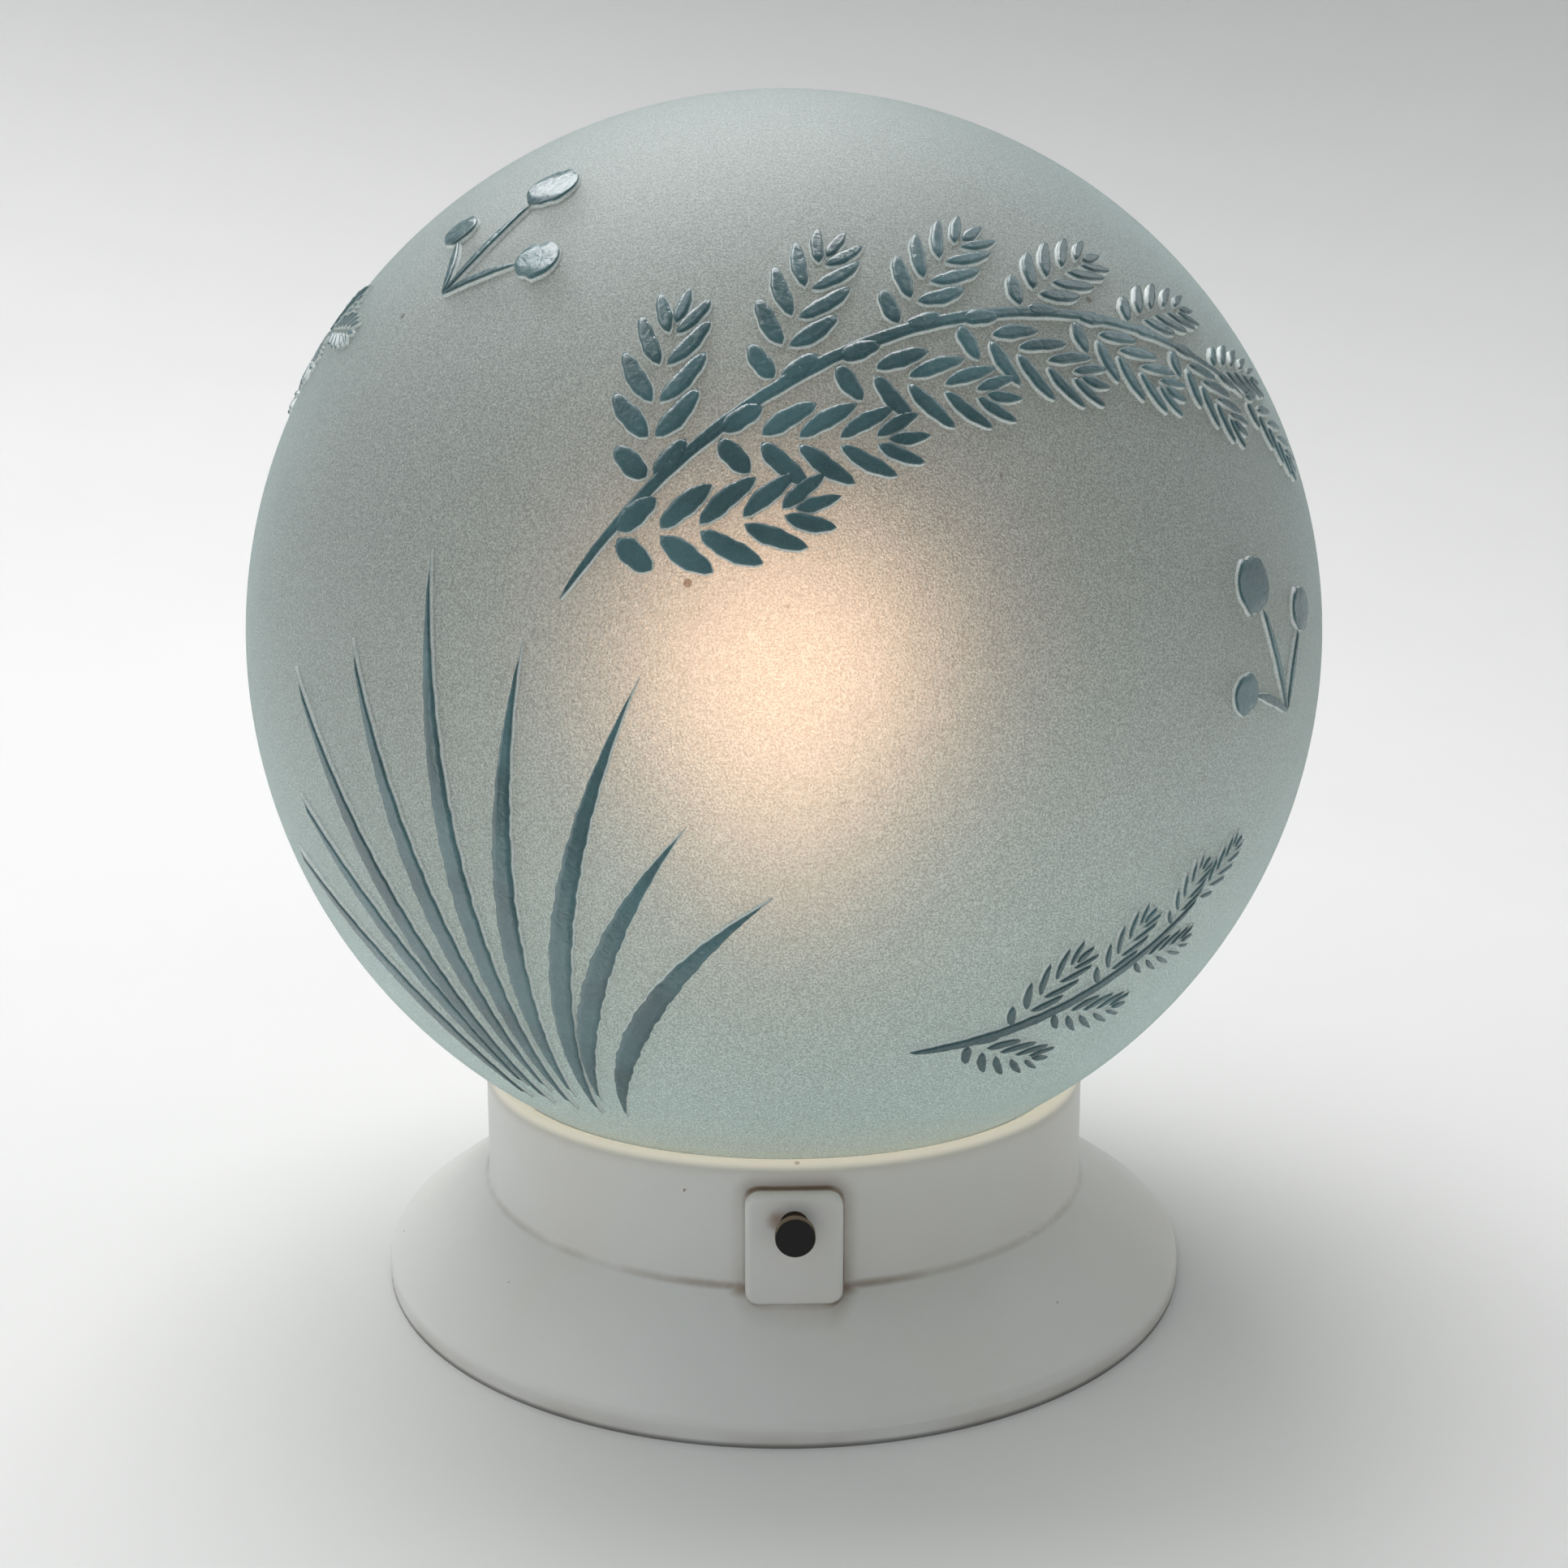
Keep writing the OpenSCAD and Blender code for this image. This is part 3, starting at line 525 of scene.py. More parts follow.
def white_moulding():
    """Aged white plastic: faint mottling, dirt and painted shade in the corners, specks, a rust stain and a
    cream rim.
    """
    f = Finish("white_moulding")
    s = sizes()
    x, y, z = f.turned(0.0)
    out = f.math("SUBTRACT", f.hypot(x, y), s.collar_radius + 0.5 * MM)
    corner = f.hypot(out, f.math("SUBTRACT", z, s.flange_rise - 0.1 * MM))
    patch = f.noise(90.0, 4.0, 0.65)
    by_boss = spot(f, 0.0, -s.collar_radius, s.flange_rise, 9 * MM, 34 * MM)
    # Brown dirt and painted shade in the crease where the collar meets the flange, heavier near the front
    # boss
    line = f.remap(corner, 0.1 * MM, 1.1 * MM, 0.6, 0.0)
    line = f.math("MULTIPLY", line, f.remap(patch, 0.3, 0.62, 0.3, 1.0))
    grime_and_shade = f.math("MULTIPLY", line, f.remap(by_boss, 0.0, 1.0, 0.4, 1.0))
    blotched = f.remap(patch, 0.3, 0.65, 0.6, 1.0)
    for side in SCREW_SIDES.values():
        grime_and_shade = f.math("MAXIMUM", grime_and_shade, f.math("MULTIPLY", boss_dirt_and_shade(f, side), blotched))
    # Brown dirt and painted shade on the flange's lip, darker towards its bottom
    skirt = f.remap(z, 0.4 * MM, 3.4 * MM, 0.34, 0.0)
    skirt = f.math("MULTIPLY", skirt, f.remap(f.noise(40.0, 3.0), 0.35, 0.7))
    grime_and_shade = f.math("MAXIMUM", grime_and_shade, skirt)
    specks = f.math("MULTIPLY", f.remap(f.cells(140.0), 0.03, 0.07, 1.0, 0.0), f.remap(patch, 0.58, 0.62))
    nick = spot(f, 0.6 * MM, 1.45 * MM - s.collar_radius, s.boss_top + 3.85 * MM, 0.2 * MM, 0.6 * MM)
    grime_and_shade = f.math("MINIMUM", f.math("MAXIMUM", f.math("MAXIMUM", grime_and_shade, specks), nick), 0.85)
    rim = f.remap(z, s.boss_top + 0.5 * MM, s.boss_top + 3.0 * MM, 0.0, 0.5)
    aged = f.math("ADD", rim, f.remap(f.noise(18.0, 5.0, 0.6), 0.35, 0.75, 0.0, 0.5))
    tint = f.mix(aged, colours().moulding, colours().moulding_aged)
    tint = f.mix(grime_and_shade, tint, colours().grime_and_shade)
    # Painted contact shadow: a near-black line along the bottom of the flange's lip
    foot = f.math("MULTIPLY", f.remap(z, 0.2 * MM, 1.1 * MM, 0.8, 0.0), f.remap(out, 10 * MM, 15 * MM))
    tint = f.mix(foot, tint, scaled(colours().moulding, 0.12))
    stain = spot(f, -2.7 * MM, -s.boss_face, SCREW_HEIGHT + 0.9 * MM, 0.2 * MM, 2.5 * MM)
    stain = f.math("MULTIPLY", stain, f.remap(f.noise(300.0, 2.0), 0.3, 0.7, 0.5, 0.9))
    tint = f.mix(stain, tint, colours().rust)
    matt = f.remap(f.noise(45.0, 4.0), 0.3, 0.7, 0.34, 0.48)
    relief = f.math("ADD", f.noise(1400.0, 2.0), f.math("MULTIPLY", f.noise(120.0), 2.0))
    # Painted glow: a cream emission on the top of the collar's rim
    through = f.remap(z, s.boss_top + 2.7 * MM, s.boss_top + 3.8 * MM)
    return f.shade(
        Base_Color=tint, IOR=1.5, Roughness=f.math("ADD", matt, f.math("MULTIPLY", grime_and_shade, 0.3)),
        Emission_Color=f.tone(colours().painted_rim_glow[:3], through), Emission_Strength=stage().painted_rim_glow_power,
        Normal=f.bump(relief, 0.08, 0.0002),
    )


def black_oxide(side):
    """Oil-blackened steel: rust on the shank, and a rim of the head where the black has rubbed off."""
    f = Finish(f"black_oxide_{side}")
    s = sizes()
    across, outwards, up = side_axes(f, SCREW_SIDES[side])
    from_axis = f.hypot(across, f.math("SUBTRACT", up, SCREW_HEIGHT))
    flecks = f.noise(700.0, 4.0, 0.7)
    head_back = SCREW_FACE - s.screw_head
    shank = f.remap(outwards, head_back - 0.1 * MM, head_back, 1.0, 0.0)
    rubbed = f.remap(from_axis, s.head_radius - 0.16 * MM, s.head_radius - 0.03 * MM)
    rubbed = f.math("MULTIPLY", rubbed, f.remap(flecks, 0.3, 0.6, 0.35, 1.0))
    rusty = f.math("MULTIPLY", shank, f.remap(flecks, 0.35, 0.6, 0.1, 0.5))
    tint = f.mix(rusty, colours().black_oxide, scaled(colours().rust, 0.3))
    tint = f.mix(rubbed, tint, colours().worn_steel)
    rough = f.remap(f.noise(1500.0), 0.3, 0.7, 0.42, 0.58)
    return f.shade(
        Base_Color=tint, Roughness=f.math("ADD", rough, f.math("MULTIPLY", rusty, 0.2)),
        Specular_IOR_Level=0.3, Normal=f.bump(f.noise(2500.0), 0.15, 0.0001),
    )


def worked_metal(name, tint, rough, grain, dull):
    """Drawn, plated or cast metal: a fine grain along the lamp's axis, and dull patches of tarnish."""
    f = Finish(name)
    lines = f.noise(grain, 4.0, 0.6, coords=f.stretched(1.0, 1.0, 0.12))
    patches = f.noise(130.0, 4.0, 0.6)
    tarnish = f.remap(patches, 0.45, 0.72, 0.0, dull)
    drawn = f.remap(lines, 0.3, 0.7, rough - 0.06, rough + 0.08)
    return f.shade(
        Base_Color=f.mix(tarnish, tint, scaled(tint, 0.45)), Metallic=1.0,
        Roughness=f.math("ADD", drawn, f.math("MULTIPLY", tarnish, 0.25)),
        Normal=f.bump(lines, 0.12, 0.0001),
    )


def glazed_porcelain():
    """Cream porcelain under a clear glaze, with fine specks and a slow waviness."""
    f = Finish("glazed_porcelain")
    speck = f.remap(f.cells(260.0), 0.05, 0.1, 0.6, 0.0)
    speck = f.math("MULTIPLY", speck, f.remap(f.noise(80.0), 0.55, 0.6))
    tint = f.mix(f.noise(40.0, 4.0), colours().porcelain, scaled(colours().porcelain, 0.92))
    tint = f.mix(speck, tint, colours().grime_and_shade)
    return f.shade(
        Base_Color=tint, Roughness=f.remap(f.noise(30.0), 0.3, 0.7, 0.22, 0.34), Coat_Weight=0.7,
        Coat_Roughness=0.06, Normal=f.bump(f.noise(160.0, 2.0), 0.12, 0.0004),
    )


def soft_rubber():
    """Dull, slightly dusty elastomer."""
    f = Finish("soft_rubber")
    dust = f.remap(f.noise(600.0, 4.0, 0.7), 0.4, 0.7)
    tint = f.mix(dust, colours().soft_tip, scaled(colours().soft_tip, 1.25))
    return f.shade(Base_Color=tint, Roughness=f.remap(dust, 0.0, 1.0, 0.6, 0.85),
                   Normal=f.bump(f.noise(1800.0), 0.2, 0.0001))


def black_glass():
    """Fused black glass with a few bubbles."""
    f = Finish("black_glass")
    bubble = f.remap(f.cells(700.0), 0.05, 0.16, 1.0, 0.0)
    tint = f.mix(bubble, colours().insulator, colours().bubbles)
    return f.shade(Base_Color=tint, Roughness=f.remap(bubble, 0.0, 1.0, 0.1, 0.3),
                   Normal=f.bump(bubble, 0.2, 0.0002))


def clear_glass():
    """Clear drawn glass with faint draw lines."""
    f = Finish("clear_glass")
    lines = f.noise(900.0, 2.0, coords=f.stretched(1.0, 1.0, 0.05))
    tint = f.mix(lines, colours().stem, colours().draw_lines)
    return f.shade(Base_Color=tint, Roughness=f.remap(lines, 0.3, 0.7, 0.02, 0.08), IOR=1.5,
                   Transmission_Weight=0.95, Normal=f.bump(lines, 0.08, 0.0002))


def pearl_glass():
    """The lit bulb: white-coated glass that glows warm, brightest round the filament."""
    f = Finish("pearl_glass")
    lit = f.remap(f.turned(0.0)[2], CAP_TOP, FILAMENT_HEIGHT, 0.45, 1.0)
    powder = f.noise(900.0, 3.0, 0.6)
    glow = f.tone(colours().glow[:3], f.math("MULTIPLY", lit, f.remap(powder, 0.3, 0.7, 0.92, 1.05)))
    tint = f.mix(powder, colours().pearl, colours().pearl_pale)
    return f.shade(
        Base_Color=tint, Roughness=f.remap(powder, 0.3, 0.7, 0.25, 0.4), Emission_Color=glow,
        Emission_Strength=stage().bulb_power, Normal=f.bump(powder, 0.05, 0.0001),
    )


# The globe and its relief


def globe_profile():
    """Radius and height along the glass, from the outer pole round the mouth to the inner pole.

    Outer arc of the globe, hollow fillet, bead, mouth ground into the bead, bore, then the inner arc.
    """
    s = sizes()
    radius, centre, ground = s.globe_radius, GLOBE_TOP - s.globe_radius, 1 * MM
    inner_radius, bore = radius - s.glass_wall, s.neck_radius - s.glass_wall
    fillet_r = s.neck_radius + s.neck_fillet
    fillet_z = centre - math.sqrt((radius + s.neck_fillet) ** 2 - fillet_r ** 2)
    meet = math.acos((fillet_z - centre) / (radius + s.neck_fillet))
    bead_r, bead_z = s.bead_reach - s.bead_radius, GLOBE_MOUTH + s.bead_radius - ground
    inner_end = math.acos(-math.sqrt(1 - (bore / inner_radius) ** 2))
    inner_foot = centre + inner_radius * math.cos(inner_end)

    globe = np.linspace(0.0, meet, 150)
    fillet = np.linspace(math.pi - meet, math.pi / 2, 10)[1:]
    bead = np.radians(np.linspace(140, -38, 14))
    inner = np.linspace(inner_end, 0.0, 70)
    straight = 4
    r = [
        radius * np.sin(globe),
        fillet_r - s.neck_fillet * np.sin(fillet),
        bead_r + s.bead_radius * np.cos(bead),
        np.linspace(bead_r + 0.5 * s.bead_radius, bore, straight),
        np.full(straight, bore),
        inner_radius * np.sin(inner),
    ]
    z = [
        centre + radius * np.cos(globe),
        fillet_z + s.neck_fillet * np.cos(fillet),
        bead_z + s.bead_radius * np.sin(bead),
        np.full(straight, GLOBE_MOUTH),
        np.linspace(GLOBE_MOUTH + ground, inner_foot - MM, straight),
        centre + inner_radius * np.cos(inner),
    ]
    return np.concatenate(r), np.concatenate(z)


def wrap_on_globe(u, v, lift, anchor):
    """A flat drawing laid on the globe: distance from the anchor becomes an arc, and direction stays.

    The anchor is (longitude, latitude) in degrees. Longitude is 0 at the front and grows to the right.
    """
    radius, shortest = sizes().globe_radius, 1e-9
    turn, rise = np.radians(anchor)
    east = np.array([math.cos(turn), math.sin(turn), 0.0])
    normal = math.cos(rise) * np.cross(east, UP) + math.sin(rise) * UP
    north = np.cross(normal, east)
    reach = np.hypot(u, v)
    safe = np.maximum(reach, shortest)
    along = (u / safe)[..., None] * east + (v / safe)[..., None] * north
    swing = (reach / radius)[..., None]
    out = np.cos(swing) * normal + np.sin(swing) * along
    return (GLOBE_TOP - radius) * UP + out * (radius + lift)[..., None]


# Half of a stroke's section, from its foot to its middle:
# share of the half-width, inset from there, and share of the relief's height
SECTION = (
    (1.0, 0.0, 0.0),
    (1.0, 0.0, 0.1),
    (1.0, 0.2 * MM, 0.8),
    (1.0, 0.32 * MM, 1.0),
    (0.5, 0.16 * MM, 1.0),
)


def stroke(path, half_width, anchor):
    """A raised stroke: a flat top with bevelled sides, carried along a drawn path on the globe.

    Across it, a point lies at its share of the half-width less its inset, and stands at its share of the
    height, which is less where the stroke is thin. Both edges waver like a hand-cut stencil's, by
    1 + 0.06 sin(run / 0.9 mm + a) + 0.05 sin(run / 0.4 mm + 2.3 a), where a comes from the path's start.
    """
    s = sizes()
    share_out, inset, rise = np.array(SECTION).T
    full = half_width[:, None] * share_out
    offset = np.maximum(full - inset, 0.4 * full)
    steps = np.linalg.norm(np.diff(path, axis=0), axis=1)
    run = np.concatenate([[0.0], np.cumsum(steps)])[:, None] / MM
    phase = float(path[0] @ (1.0, 1.7)) / (0.1 * MM)
    left, right = (
        offset * (1 + 0.06 * np.sin(run / 0.9 + a) + 0.05 * np.sin(run / 0.4 + 2.3 * a))
        for a in (phase, 1.6 * phase)
    )
    across = np.concatenate([-left, np.zeros((len(path), 1)), right[:, ::-1]], axis=1)
    lift = np.concatenate([rise, [1.0], rise[::-1]]) * s.relief_height
    lift[[0, -1]] = -s.relief_sink
    slope = np.gradient(path, axis=0)
    slope /= np.linalg.norm(slope, axis=1, keepdims=True)
    side = np.stack([-slope[:, 1], slope[:, 0]], axis=1)
    flat = path[:, None, :] + side[:, None, :] * across[..., None]
    grown = np.clip(half_width / (0.45 * s.relief_height), 0.65, 1.0)[:, None]
    return capped_tube(wrap_on_globe(flat[..., 0], flat[..., 1], grown * lift[None, :], anchor))


def curve(start, heading, run, bend, steps):
    """A drawn path of a given length: its heading, in degrees, turns evenly by bend from end to end."""
    t = np.linspace(0.0, 1.0, steps)
    way = np.radians(heading + bend * t)
    step = run / (steps - 1)
    u = start[0] + np.concatenate([[0.0], np.cumsum(np.cos(way[:-1]))]) * step
    v = start[1] + np.concatenate([[0.0], np.cumsum(np.sin(way[:-1]))]) * step
    return np.stack([u, v], axis=1)


def swelling(steps, widest, power, lean=0.5):
    """Half-widths of a blade: widest times sin(pi w)^power, and next to nothing at both ends.

    Along it w rises evenly from 0 to 0.5 at lean, and from there to 1.
    """
    t, end = np.linspace(0.0, 1.0, steps), 0.004
    w = np.where(t < lean, 0.5 * t / lean, 0.5 + 0.5 * (t - lean) / (1 - lean))
    return widest * np.sin(math.pi * np.clip(w, end, 1 - end)) ** power


def leaf(start, heading, run, width, bend, anchor):
    """Lobes that leave a frosted midrib on both sides, lean towards the tip and fill a leaf's outline.

    A lobe at t along the midrib leans by 50 - 22 t degrees from it. It reaches half the width times
    sin(pi (0.1 + 0.9 t)^0.75)^0.7, over the sine of its lean. One more blade is the leaf's tip.
    """
    lobes, lobe_points, rib_points, tip_points = 5, 12, 61, 13
    rib_gap, lobe_gap = 0.5 * MM, 0.55 * MM
    rib = curve(start, heading, run, bend, rib_points)
    parts = [stroke(rib[-tip_points:], swelling(tip_points, 0.09 * width, 0.6, 0.4), anchor)]
    for k in range(lobes):
        t = (k + 0.35) / (lobes + 0.7)
        lean, way = 50 - 22 * t, heading + bend * t
        slant = math.sin(math.radians(lean))
        reach = 0.5 * width * math.sin(math.pi * (0.1 + 0.9 * t) ** 0.75) ** 0.7 / slant
        broad = 0.5 * (run / (lobes + 0.7) * slant - lobe_gap)
        for hand in (-1, 1):
            off = math.radians(way + 90 * hand)
            root = rib[int((rib_points - 1) * t)] + rib_gap * np.array([math.cos(off), math.sin(off)])
            lobe = curve(root, way + hand * lean, reach, -16 * hand, lobe_points)
            parts.append(stroke(lobe, swelling(lobe_points, broad, 0.45, 0.45), anchor))
    return parts


def disc(centre, radius, anchor):
    """A round berry: a short stroke whose half-width follows a circle."""
    t = np.linspace(0.02, math.pi - 0.02, 18)
    path = np.stack([centre[0] - radius * np.cos(t), np.full(len(t), centre[1])], axis=1)
    return stroke(path, radius * np.sin(t), anchor)


def branch(anchor, start, heading, run, bend, pairs, leaf_run, leaf_width):
    """A stem with leaves in turn on each side, shorter towards its tip, and one leaf at its end.

    The start is measured from the anchor. The heading and the bend are in degrees. A leaf at t along
    the stem is leaf_run (1 - 0.45 t) long and leaf_width (1 - 0.3 t) wide, and leans by 52 - 14 t.
    """
    steps = 60
    stem = curve(start, heading, run, bend, steps)
    parts = [stroke(stem, swelling(steps, 1.1 * MM, 0.35, 0.3), anchor)]
    for k in range(2 * pairs):
        t = (k + 1.2) / (2 * pairs + 1.0)
        hand = 1 if k % 2 else -1
        way = heading + bend * t
        parts += leaf(stem[int(t * (steps - 1))], way + hand * (52 - 14 * t), leaf_run * (1.0 - 0.45 * t),
                      leaf_width * (1.0 - 0.3 * t), -hand * 24, anchor)
    return parts + leaf(stem[-1], heading + bend, leaf_run * 0.6, leaf_width * 0.7, bend * 0.2, anchor)


def berries(anchor, heading):
    """Three berries on bent stalks that leave one point."""
    parts, steps = [], 16
    for turn, run, radius in ((-34, 13 * MM, 3.6 * MM), (4, 19 * MM, 4.4 * MM), (38, 12 * MM, 3.2 * MM)):
        stalk = curve((0.0, 0.0), heading + turn, run, 0.5 * turn, steps)
        ahead = (stalk[-1] - stalk[-2]) * (steps - 1) / run
        parts.append(stroke(stalk, swelling(steps, 0.8 * MM, 0.4), anchor))
        parts.append(disc(stalk[-1] + radius * ahead, radius, anchor))
    return parts


def tuft(anchor, root, tall):
    """Long blades of grass that rise side by side from one root and bend away from the middle one.

    A blade at a across the tuft, from -1 to 1, bends by the fan times a. Its length is tall times
    1 - 0.38 |a|^1.5, and every other blade is shorter by 0.12 of tall.
    """
    parts, blades, steps, fan, widest = [], 9, 70, 46, 1.9 * MM
    for k in range(blades):
        across = 2 * k / (blades - 1) - 1
        start = (root[0] - across * 10 * MM, root[1] + (k % 2) * 5 * MM)
        run = tall * (1.0 - 0.38 * abs(across) ** 1.5 - 0.12 * (k % 2))
        path = curve(start, 90 + across * fan * 0.35, run, across * fan, steps)
        parts.append(stroke(path, swelling(steps, widest, 0.9, 0.45), anchor))
    return parts


def relief_drawing():
    """Every motif on the globe, as piece name to parts: leafy branches, berries and tufts of grass."""
    leaves = {"pairs": 6, "leaf_run": 33 * MM, "leaf_width": 13 * MM}
    return {
        "relief_branch_front": branch((14, 28), (-58 * MM, -32 * MM), 46, 124 * MM, -60, **leaves),
        "relief_tuft_front": tuft((-32, -22), (2 * MM, -42 * MM), 98 * MM),
        "relief_sprig_front": branch((30, -30), (-27 * MM, -9 * MM), 14, 52 * MM, 30, 3, 21 * MM, 9 * MM),
        "relief_berries_front": berries((-38, 33), 62),
        "relief_berries_right": berries((50, -4), 118),
        "relief_branch_right": branch((100, 4), (-10 * MM, -62 * MM), 104, 128 * MM, -40, **leaves),
        "relief_tuft_back": tuft((150, -24), (0.0, -46 * MM), 104 * MM),
        "relief_branch_back": branch((196, 20), (56 * MM, -38 * MM), 130, 124 * MM, 58, **leaves),
        "relief_berries_back": berries((214, -20), 80),
        "relief_sprig_left": branch((-80, 34), (-30 * MM, -20 * MM), 34, 60 * MM, -30, 3, 23 * MM, 10 * MM),
        "relief_tuft_left": tuft((-104, -28), (0.0, -42 * MM), 92 * MM),
    }


class LAMP_OT_globe(bpy.types.Operator):
    """Blow the globe and frost it"""

    bl_idname = "lamp.globe"
    bl_label = "Glass globe"

    def execute(self, context):
        shell = revolve(*globe_profile(), GLOBE_POINTS)
        piece = make_piece("glass_globe", [shell], "base", frosted_glass())
        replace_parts(piece, "globe")
        return {"FINISHED"}


class LAMP_OT_relief(bpy.types.Operator):
    """Raise the polished leaves on the globe"""

    bl_idname = "lamp.relief"
    bl_label = "Relief on the globe"

    def execute(self, context):
        material = polished_glass()
        for name, parts in relief_drawing().items():
            make_piece(name, parts, "base", material)
        return {"FINISHED"}


# Base and screws


class LAMP_OT_base(bpy.types.Operator):
    """Finish the moulded base, its strap and their fasteners"""

    bl_idname = "lamp.base"
    bl_label = "Base and strap"

    def execute(self, context):
        dress(white_moulding(), "base_shell")
        zinc = worked_metal("zinc_plate", colours().zinc, rough=0.34, grain=900.0, dull=0.5)
        dress(zinc, "mounting_strap", "strap_screws", "captive_nuts")
        dress(zinc, "holder_screws", "holder_nuts", "terminal_screws")
        return {"FINISHED"}


class LAMP_OT_clamp_screws(bpy.types.Operator):
    """Blacken the clamp screws, cut their threads and finish their soft tips"""

    bl_idname = "lamp.clamp_screws"
    bl_label = "Clamp screws"

    def execute(self, context):
        rubber = soft_rubber()
        for side, degrees in SCREW_SIDES.items():
            steel = black_oxide(side)
            dress(steel, f"clamp_screw_{side}")
            dress(rubber, f"soft_tip_{side}")
            thread = self.thread(degrees)
            make_piece(f"screw_thread_{side}", [thread], f"{side}_screw", steel)
        return {"FINISHED"}

    def thread(self, degrees):
        """A ridge with a narrow crest, from inside the boss to the head of the screw.

        It follows a helix about the screw's axis: at t it has turned by 2 pi turns t and moved on by
        the same share of its length. Over the first and last quarter turn it fades out.
        """
        s = sizes()
        start, end = s.thread_start, SCREW_FACE - s.screw_head - 0.2 * MM
        turns, points_a_turn = (end - start) / s.screw_pitch, 28
        t = np.linspace(0.0, 1.0, int(turns * points_a_turn))
        spin = TURN * turns * t
        way = math.radians(degrees)
        axis = np.array([math.cos(way), math.sin(way), 0.0])
        outward = np.cos(spin)[:, None] * np.cross(UP, axis) + np.sin(spin)[:, None] * UP
        along = start + (end - start) * t
        path = SCREW_HEIGHT * UP + along[:, None] * axis + s.screw_shank * outward
        root, crest, half = -0.1 * MM, s.screw_thread - s.screw_shank, 0.42 * s.screw_pitch
        ridge = np.array([[root, -half], [crest, -0.25 * half], [crest, 0.25 * half], [root, half]])
        run_out = np.clip(np.minimum(t, 1 - t) * turns * 4, 0.05, 1.0)[:, None, None]
        return sweep(path, outward, ridge[None] * run_out)


class LAMP_OT_lampholder(bpy.types.Operator):
    """Glaze the lampholder, roll its sleeve and finish its contacts"""

    bl_idname = "lamp.lampholder"
    bl_label = "Lampholder"

    def execute(self, context):
        brass = worked_metal("drawn_brass", colours().brass, rough=0.3, grain=700.0, dull=0.6)
        dress(glazed_porcelain(), "lampholder_body")
        dress(brass, "spring_strip", "rivets", "terminal_live", "terminal_neutral")
        s = sizes()
        floor_r = np.array([s.sleeve_hole, s.sleeve_crest, s.sleeve_crest, s.sleeve_hole])[:, None]
        floor_z = SLEEVE_FOOT + s.sheet * np.array([0.0, 0.0, 1.0, 1.0])[:, None]
        sleeve_floor = loop_shell(floor_r, floor_z, SMALL_POINTS)
        parts = [rolled_shell(SLEEVE_FOOT, SLEEVE_TOP, s.sleeve_crest), sleeve_floor]
        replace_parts(make_piece("rolled_sleeve", parts, "base", brass), "thread_sleeve")
        return {"FINISHED"}


class LAMP_OT_bulb(bpy.types.Operator):
    """Blow the bulb, roll its cap, wind its filament and light it"""

    bl_idname = "lamp.bulb"
    bl_label = "Bulb"

    def execute(self, context):
        shell = revolve(*self.envelope(), SMALL_POINTS)
        glass = make_piece("bulb_envelope", [shell], "bulb", pearl_glass())
        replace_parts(glass, "bulb_glass")
        aluminium = worked_metal("rolled_aluminium", colours().aluminium, rough=0.28, grain=800.0, dull=0.4)
        rolled = rolled_shell(CAP_FOOT, CAP_TOP, sizes().cap_crest)
        cap = make_piece("rolled_cap", [rolled], "bulb", aluminium)
        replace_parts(cap, "bulb_cap")
        tungsten = worked_metal("tungsten_wire", colours().tungsten, rough=0.36, grain=1200.0, dull=0.5)
        coil = make_piece("coiled_filament", [self.filament()], "bulb", tungsten)
        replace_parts(coil, "bulb_filament")
        dress(tungsten, "bulb_leads")
        dress(black_glass(), "bulb_insulator")
        dress(worked_metal("soft_solder", colours().solder, rough=0.42, grain=500.0, dull=0.5), "bulb_tip")
        dress(clear_glass(), "bulb_stem")
        return {"FINISHED"}

    def envelope(self):
        """Profile of the bulb, out and back: a half sphere, a taper and a straight neck.

        Down the taper the radius falls from the sphere's to the neck's by 3 t^2 - 2 t^3.
        """
        s = sizes()
        centre, straight, foot = BULB_TOP - s.bulb_radius, CAP_TOP + 1.5 * MM, CAP_FOOT + 4 * MM
        dome = np.linspace(0.0, math.pi / 2, 30)
        t = np.linspace(0.0, 1.0, 44)[1:]
        fall = (s.bulb_radius - s.bulb_neck) * (3 * t ** 2 - 2 * t ** 3)
        drop = (centre - straight) * t
        r = np.concatenate([s.bulb_radius * np.sin(dome), s.bulb_radius - fall, [s.bulb_neck]])
        z = np.concatenate([centre + s.bulb_radius * np.cos(dome), centre - drop, [foot]])
        inner_r, inner_z = np.maximum(r[::-1] - s.bulb_wall, 0.0), z[::-1].copy()
        inner_z[-1] -= s.bulb_wall
        return np.concatenate([r, inner_r]), np.concatenate([z, inner_z])

    def filament(self):
        """A fine wire along a coil, and the coil along an arc of 300 degrees about the lamp's axis."""
        s = sizes()
        turns, points_a_turn, sides = 70, 10, 6
        t = np.linspace(0.0, 1.0, turns * points_a_turn)
        around = np.radians(-150.0 + 300.0 * t)
        spin = TURN * turns * t
        ring = np.stack([np.cos(around), np.sin(around), np.zeros_like(t)], axis=1)
        outward = np.cos(spin)[:, None] * ring + np.sin(spin)[:, None] * UP
        path = FILAMENT_HEIGHT * UP + s.filament_ring * ring + s.filament_coil * outward
        turn = np.linspace(0.0, TURN, sides, endpoint=False)
        section = s.filament_wire * np.stack([np.cos(turn), np.sin(turn)], axis=1)
        return sweep(path, outward, section[None])


# Stage

# Soft square lights: name, place, target, side in metres and power in watts
LIGHTS = (
    ("soft_top", (-0.4, 0.7, 2.0), (-0.4, 0.7, 0.0), 1.7, 38.0),
    ("soft_left", (-1.1, -0.6, 1.7), (0.0, 0.0, 0.1), 1.2, 6.5),
    ("soft_right", (1.2, 0.5, 1.7), (0.0, 0.0, 0.1), 1.2, 4.0),
)


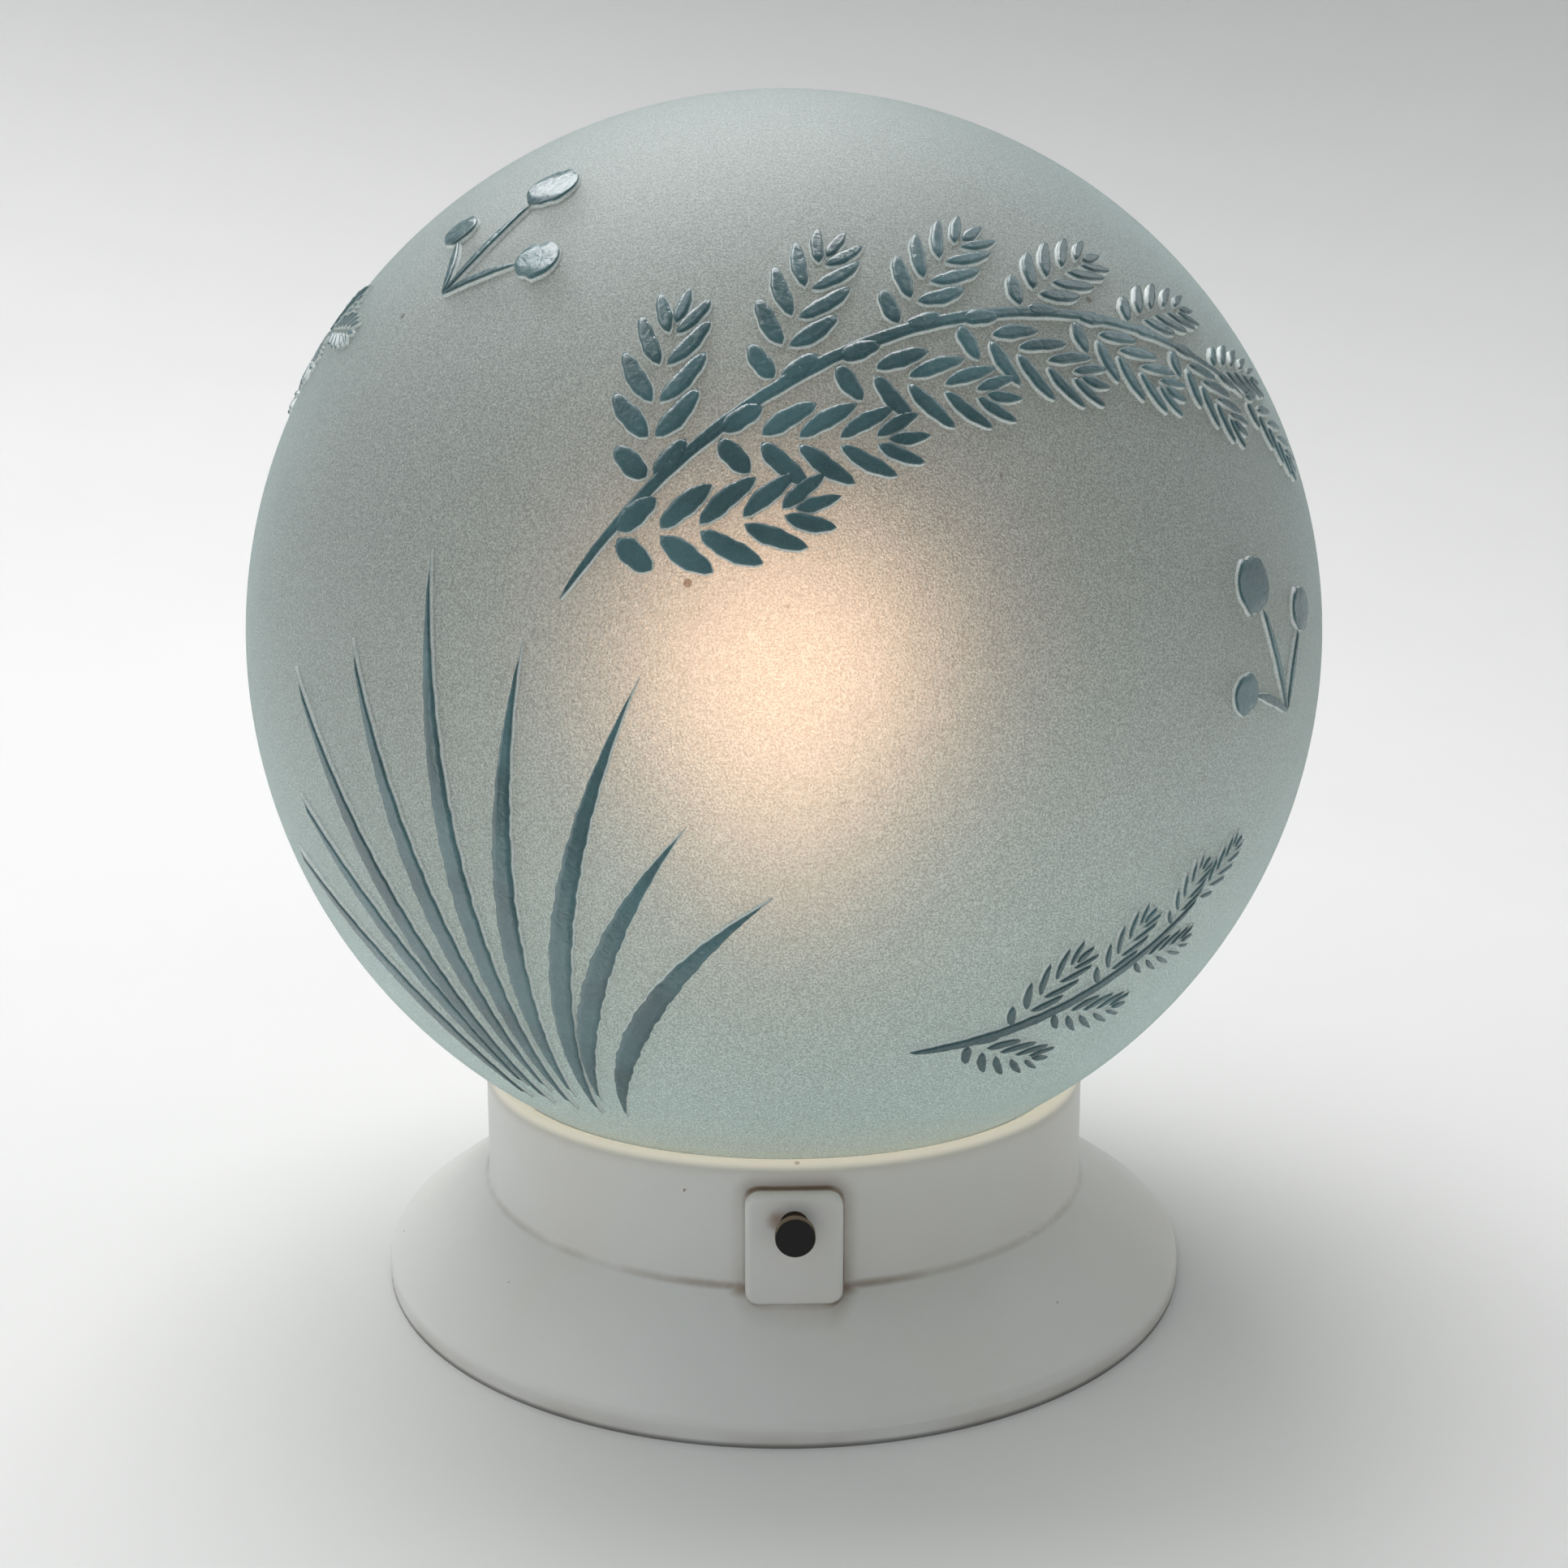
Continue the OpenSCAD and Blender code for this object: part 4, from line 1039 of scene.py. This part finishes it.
class LAMP_OT_stage(bpy.types.Operator):
    """Set the floor, the light and the camera"""

    bl_idname = "lamp.stage"
    bl_label = "Stage"

    def execute(self, context):
        self.make_floor(context.scene)
        self.make_light(context.scene)
        self.make_camera(context.scene)
        context.scene.view_settings.view_transform = "Standard"
        return {"FINISHED"}

    def make_floor(self, scene):
        """A flat disc that sweeps up in a quarter circle to a low round wall."""
        flat, bend, wall = stage().floor_radius, stage().sweep_radius, stage().wall_height
        middle, around = 0.3, 192
        disc_r = np.geomspace(middle, flat, 12)
        swing = np.linspace(0.0, math.pi / 2, 48)[1:]
        r = np.concatenate([disc_r, flat + bend * np.sin(swing), [flat + bend]])
        z = np.concatenate([np.zeros_like(disc_r), bend - bend * np.cos(swing), [bend + wall]])
        points = turned_rings(r[:, None], z[:, None], around).reshape(-1, 3)
        quads = grid_quads(len(r), around, closed_columns=True)[:, ::-1]
        mesh = bpy.data.meshes.new("floor")
        mesh.from_pydata(points.tolist(), [], [list(range(around))] + quads.tolist())
        mesh.shade_smooth()
        f = Finish("table")
        tint = f.mix(f.noise(3.0), colours().floor, scaled(colours().floor, 1.03))
        matt = f.remap(f.noise(12.0), 0.3, 0.7, 0.52, 0.6)
        mesh.materials.append(f.shade(Base_Color=tint, Roughness=matt, Specular_IOR_Level=0.25))
        floor = bpy.data.objects.new("floor", mesh)
        scene.collection.objects.link(floor)

    def make_light(self, scene):
        """A dim sky and the soft lights, each turned to its target."""
        world = bpy.data.worlds.new("studio")
        world.use_nodes = True
        back = world.node_tree.nodes["Background"]
        back.inputs["Color"].default_value = colours().sky
        back.inputs["Strength"].default_value = stage().sky_power
        scene.world = world
        for name, place, target, side, power in LIGHTS:
            light = bpy.data.lights.new(name, "AREA")
            light.energy = power
            light.size = side
            lamp = bpy.data.objects.new(name, light)
            lamp.location = place
            lamp.rotation_mode = "QUATERNION"
            lamp.rotation_quaternion = (Vector(target) - Vector(place)).to_track_quat("-Z", "Y")
            scene.collection.objects.link(lamp)

    def make_camera(self, scene):
        """A camera in front of the lamp that looks down at its axis."""
        data = bpy.data.cameras.new("camera")
        data.lens = stage().camera_lens
        data.clip_start = 0.01
        camera = bpy.data.objects.new("camera", data)
        pitch, turn = stage().camera_pitch, stage().camera_turn
        level = math.cos(pitch)
        back = Vector((math.sin(turn) * level, -math.cos(turn) * level, math.sin(pitch)))
        camera.location = Vector((0.0, 0.0, stage().camera_target)) + back * stage().camera_distance
        camera.rotation_mode = "QUATERNION"
        camera.rotation_quaternion = (-back).to_track_quat("-Z", "Y")
        scene.collection.objects.link(camera)
        scene.camera = camera


class LAMP_PT_sidebar(bpy.types.Panel):
    """Lists the lamp's pieces"""

    bl_idname = "LAMP_PT_sidebar"
    bl_label = "Ceiling lamp"
    bl_space_type = "VIEW_3D"
    bl_region_type = "UI"
    bl_category = "Lamp"

    def draw(self, context):
        for operator in OPERATORS:
            self.layout.operator(operator.bl_idname)


GROUPS = {"lamp_sizes": LampSizes, "lamp_colours": LampColours, "lamp_stage": LampStage}
OPERATORS = (
    LAMP_OT_stage, LAMP_OT_globe, LAMP_OT_relief, LAMP_OT_base, LAMP_OT_clamp_screws, LAMP_OT_lampholder,
    LAMP_OT_bulb,
)


def register():
    """Adds the classes, and their groups to the scene."""
    for kind in (*GROUPS.values(), *OPERATORS, LAMP_PT_sidebar):
        bpy.utils.register_class(kind)
    for name, group in GROUPS.items():
        setattr(bpy.types.Scene, name, bpy.props.PointerProperty(type=group))


def unregister():
    """Takes the groups and the classes away again."""
    for name in GROUPS:
        delattr(bpy.types.Scene, name)
    for kind in reversed((*GROUPS.values(), *OPERATORS, LAMP_PT_sidebar)):
        bpy.utils.unregister_class(kind)


def main():
    """Makes the stage and the lamp."""
    register()
    bpy.ops.lamp.stage()
    bpy.ops.lamp.globe()
    bpy.ops.lamp.relief()
    bpy.ops.lamp.base()
    bpy.ops.lamp.clamp_screws()
    bpy.ops.lamp.lampholder()
    bpy.ops.lamp.bulb()


if __name__ == "__main__":
    main()
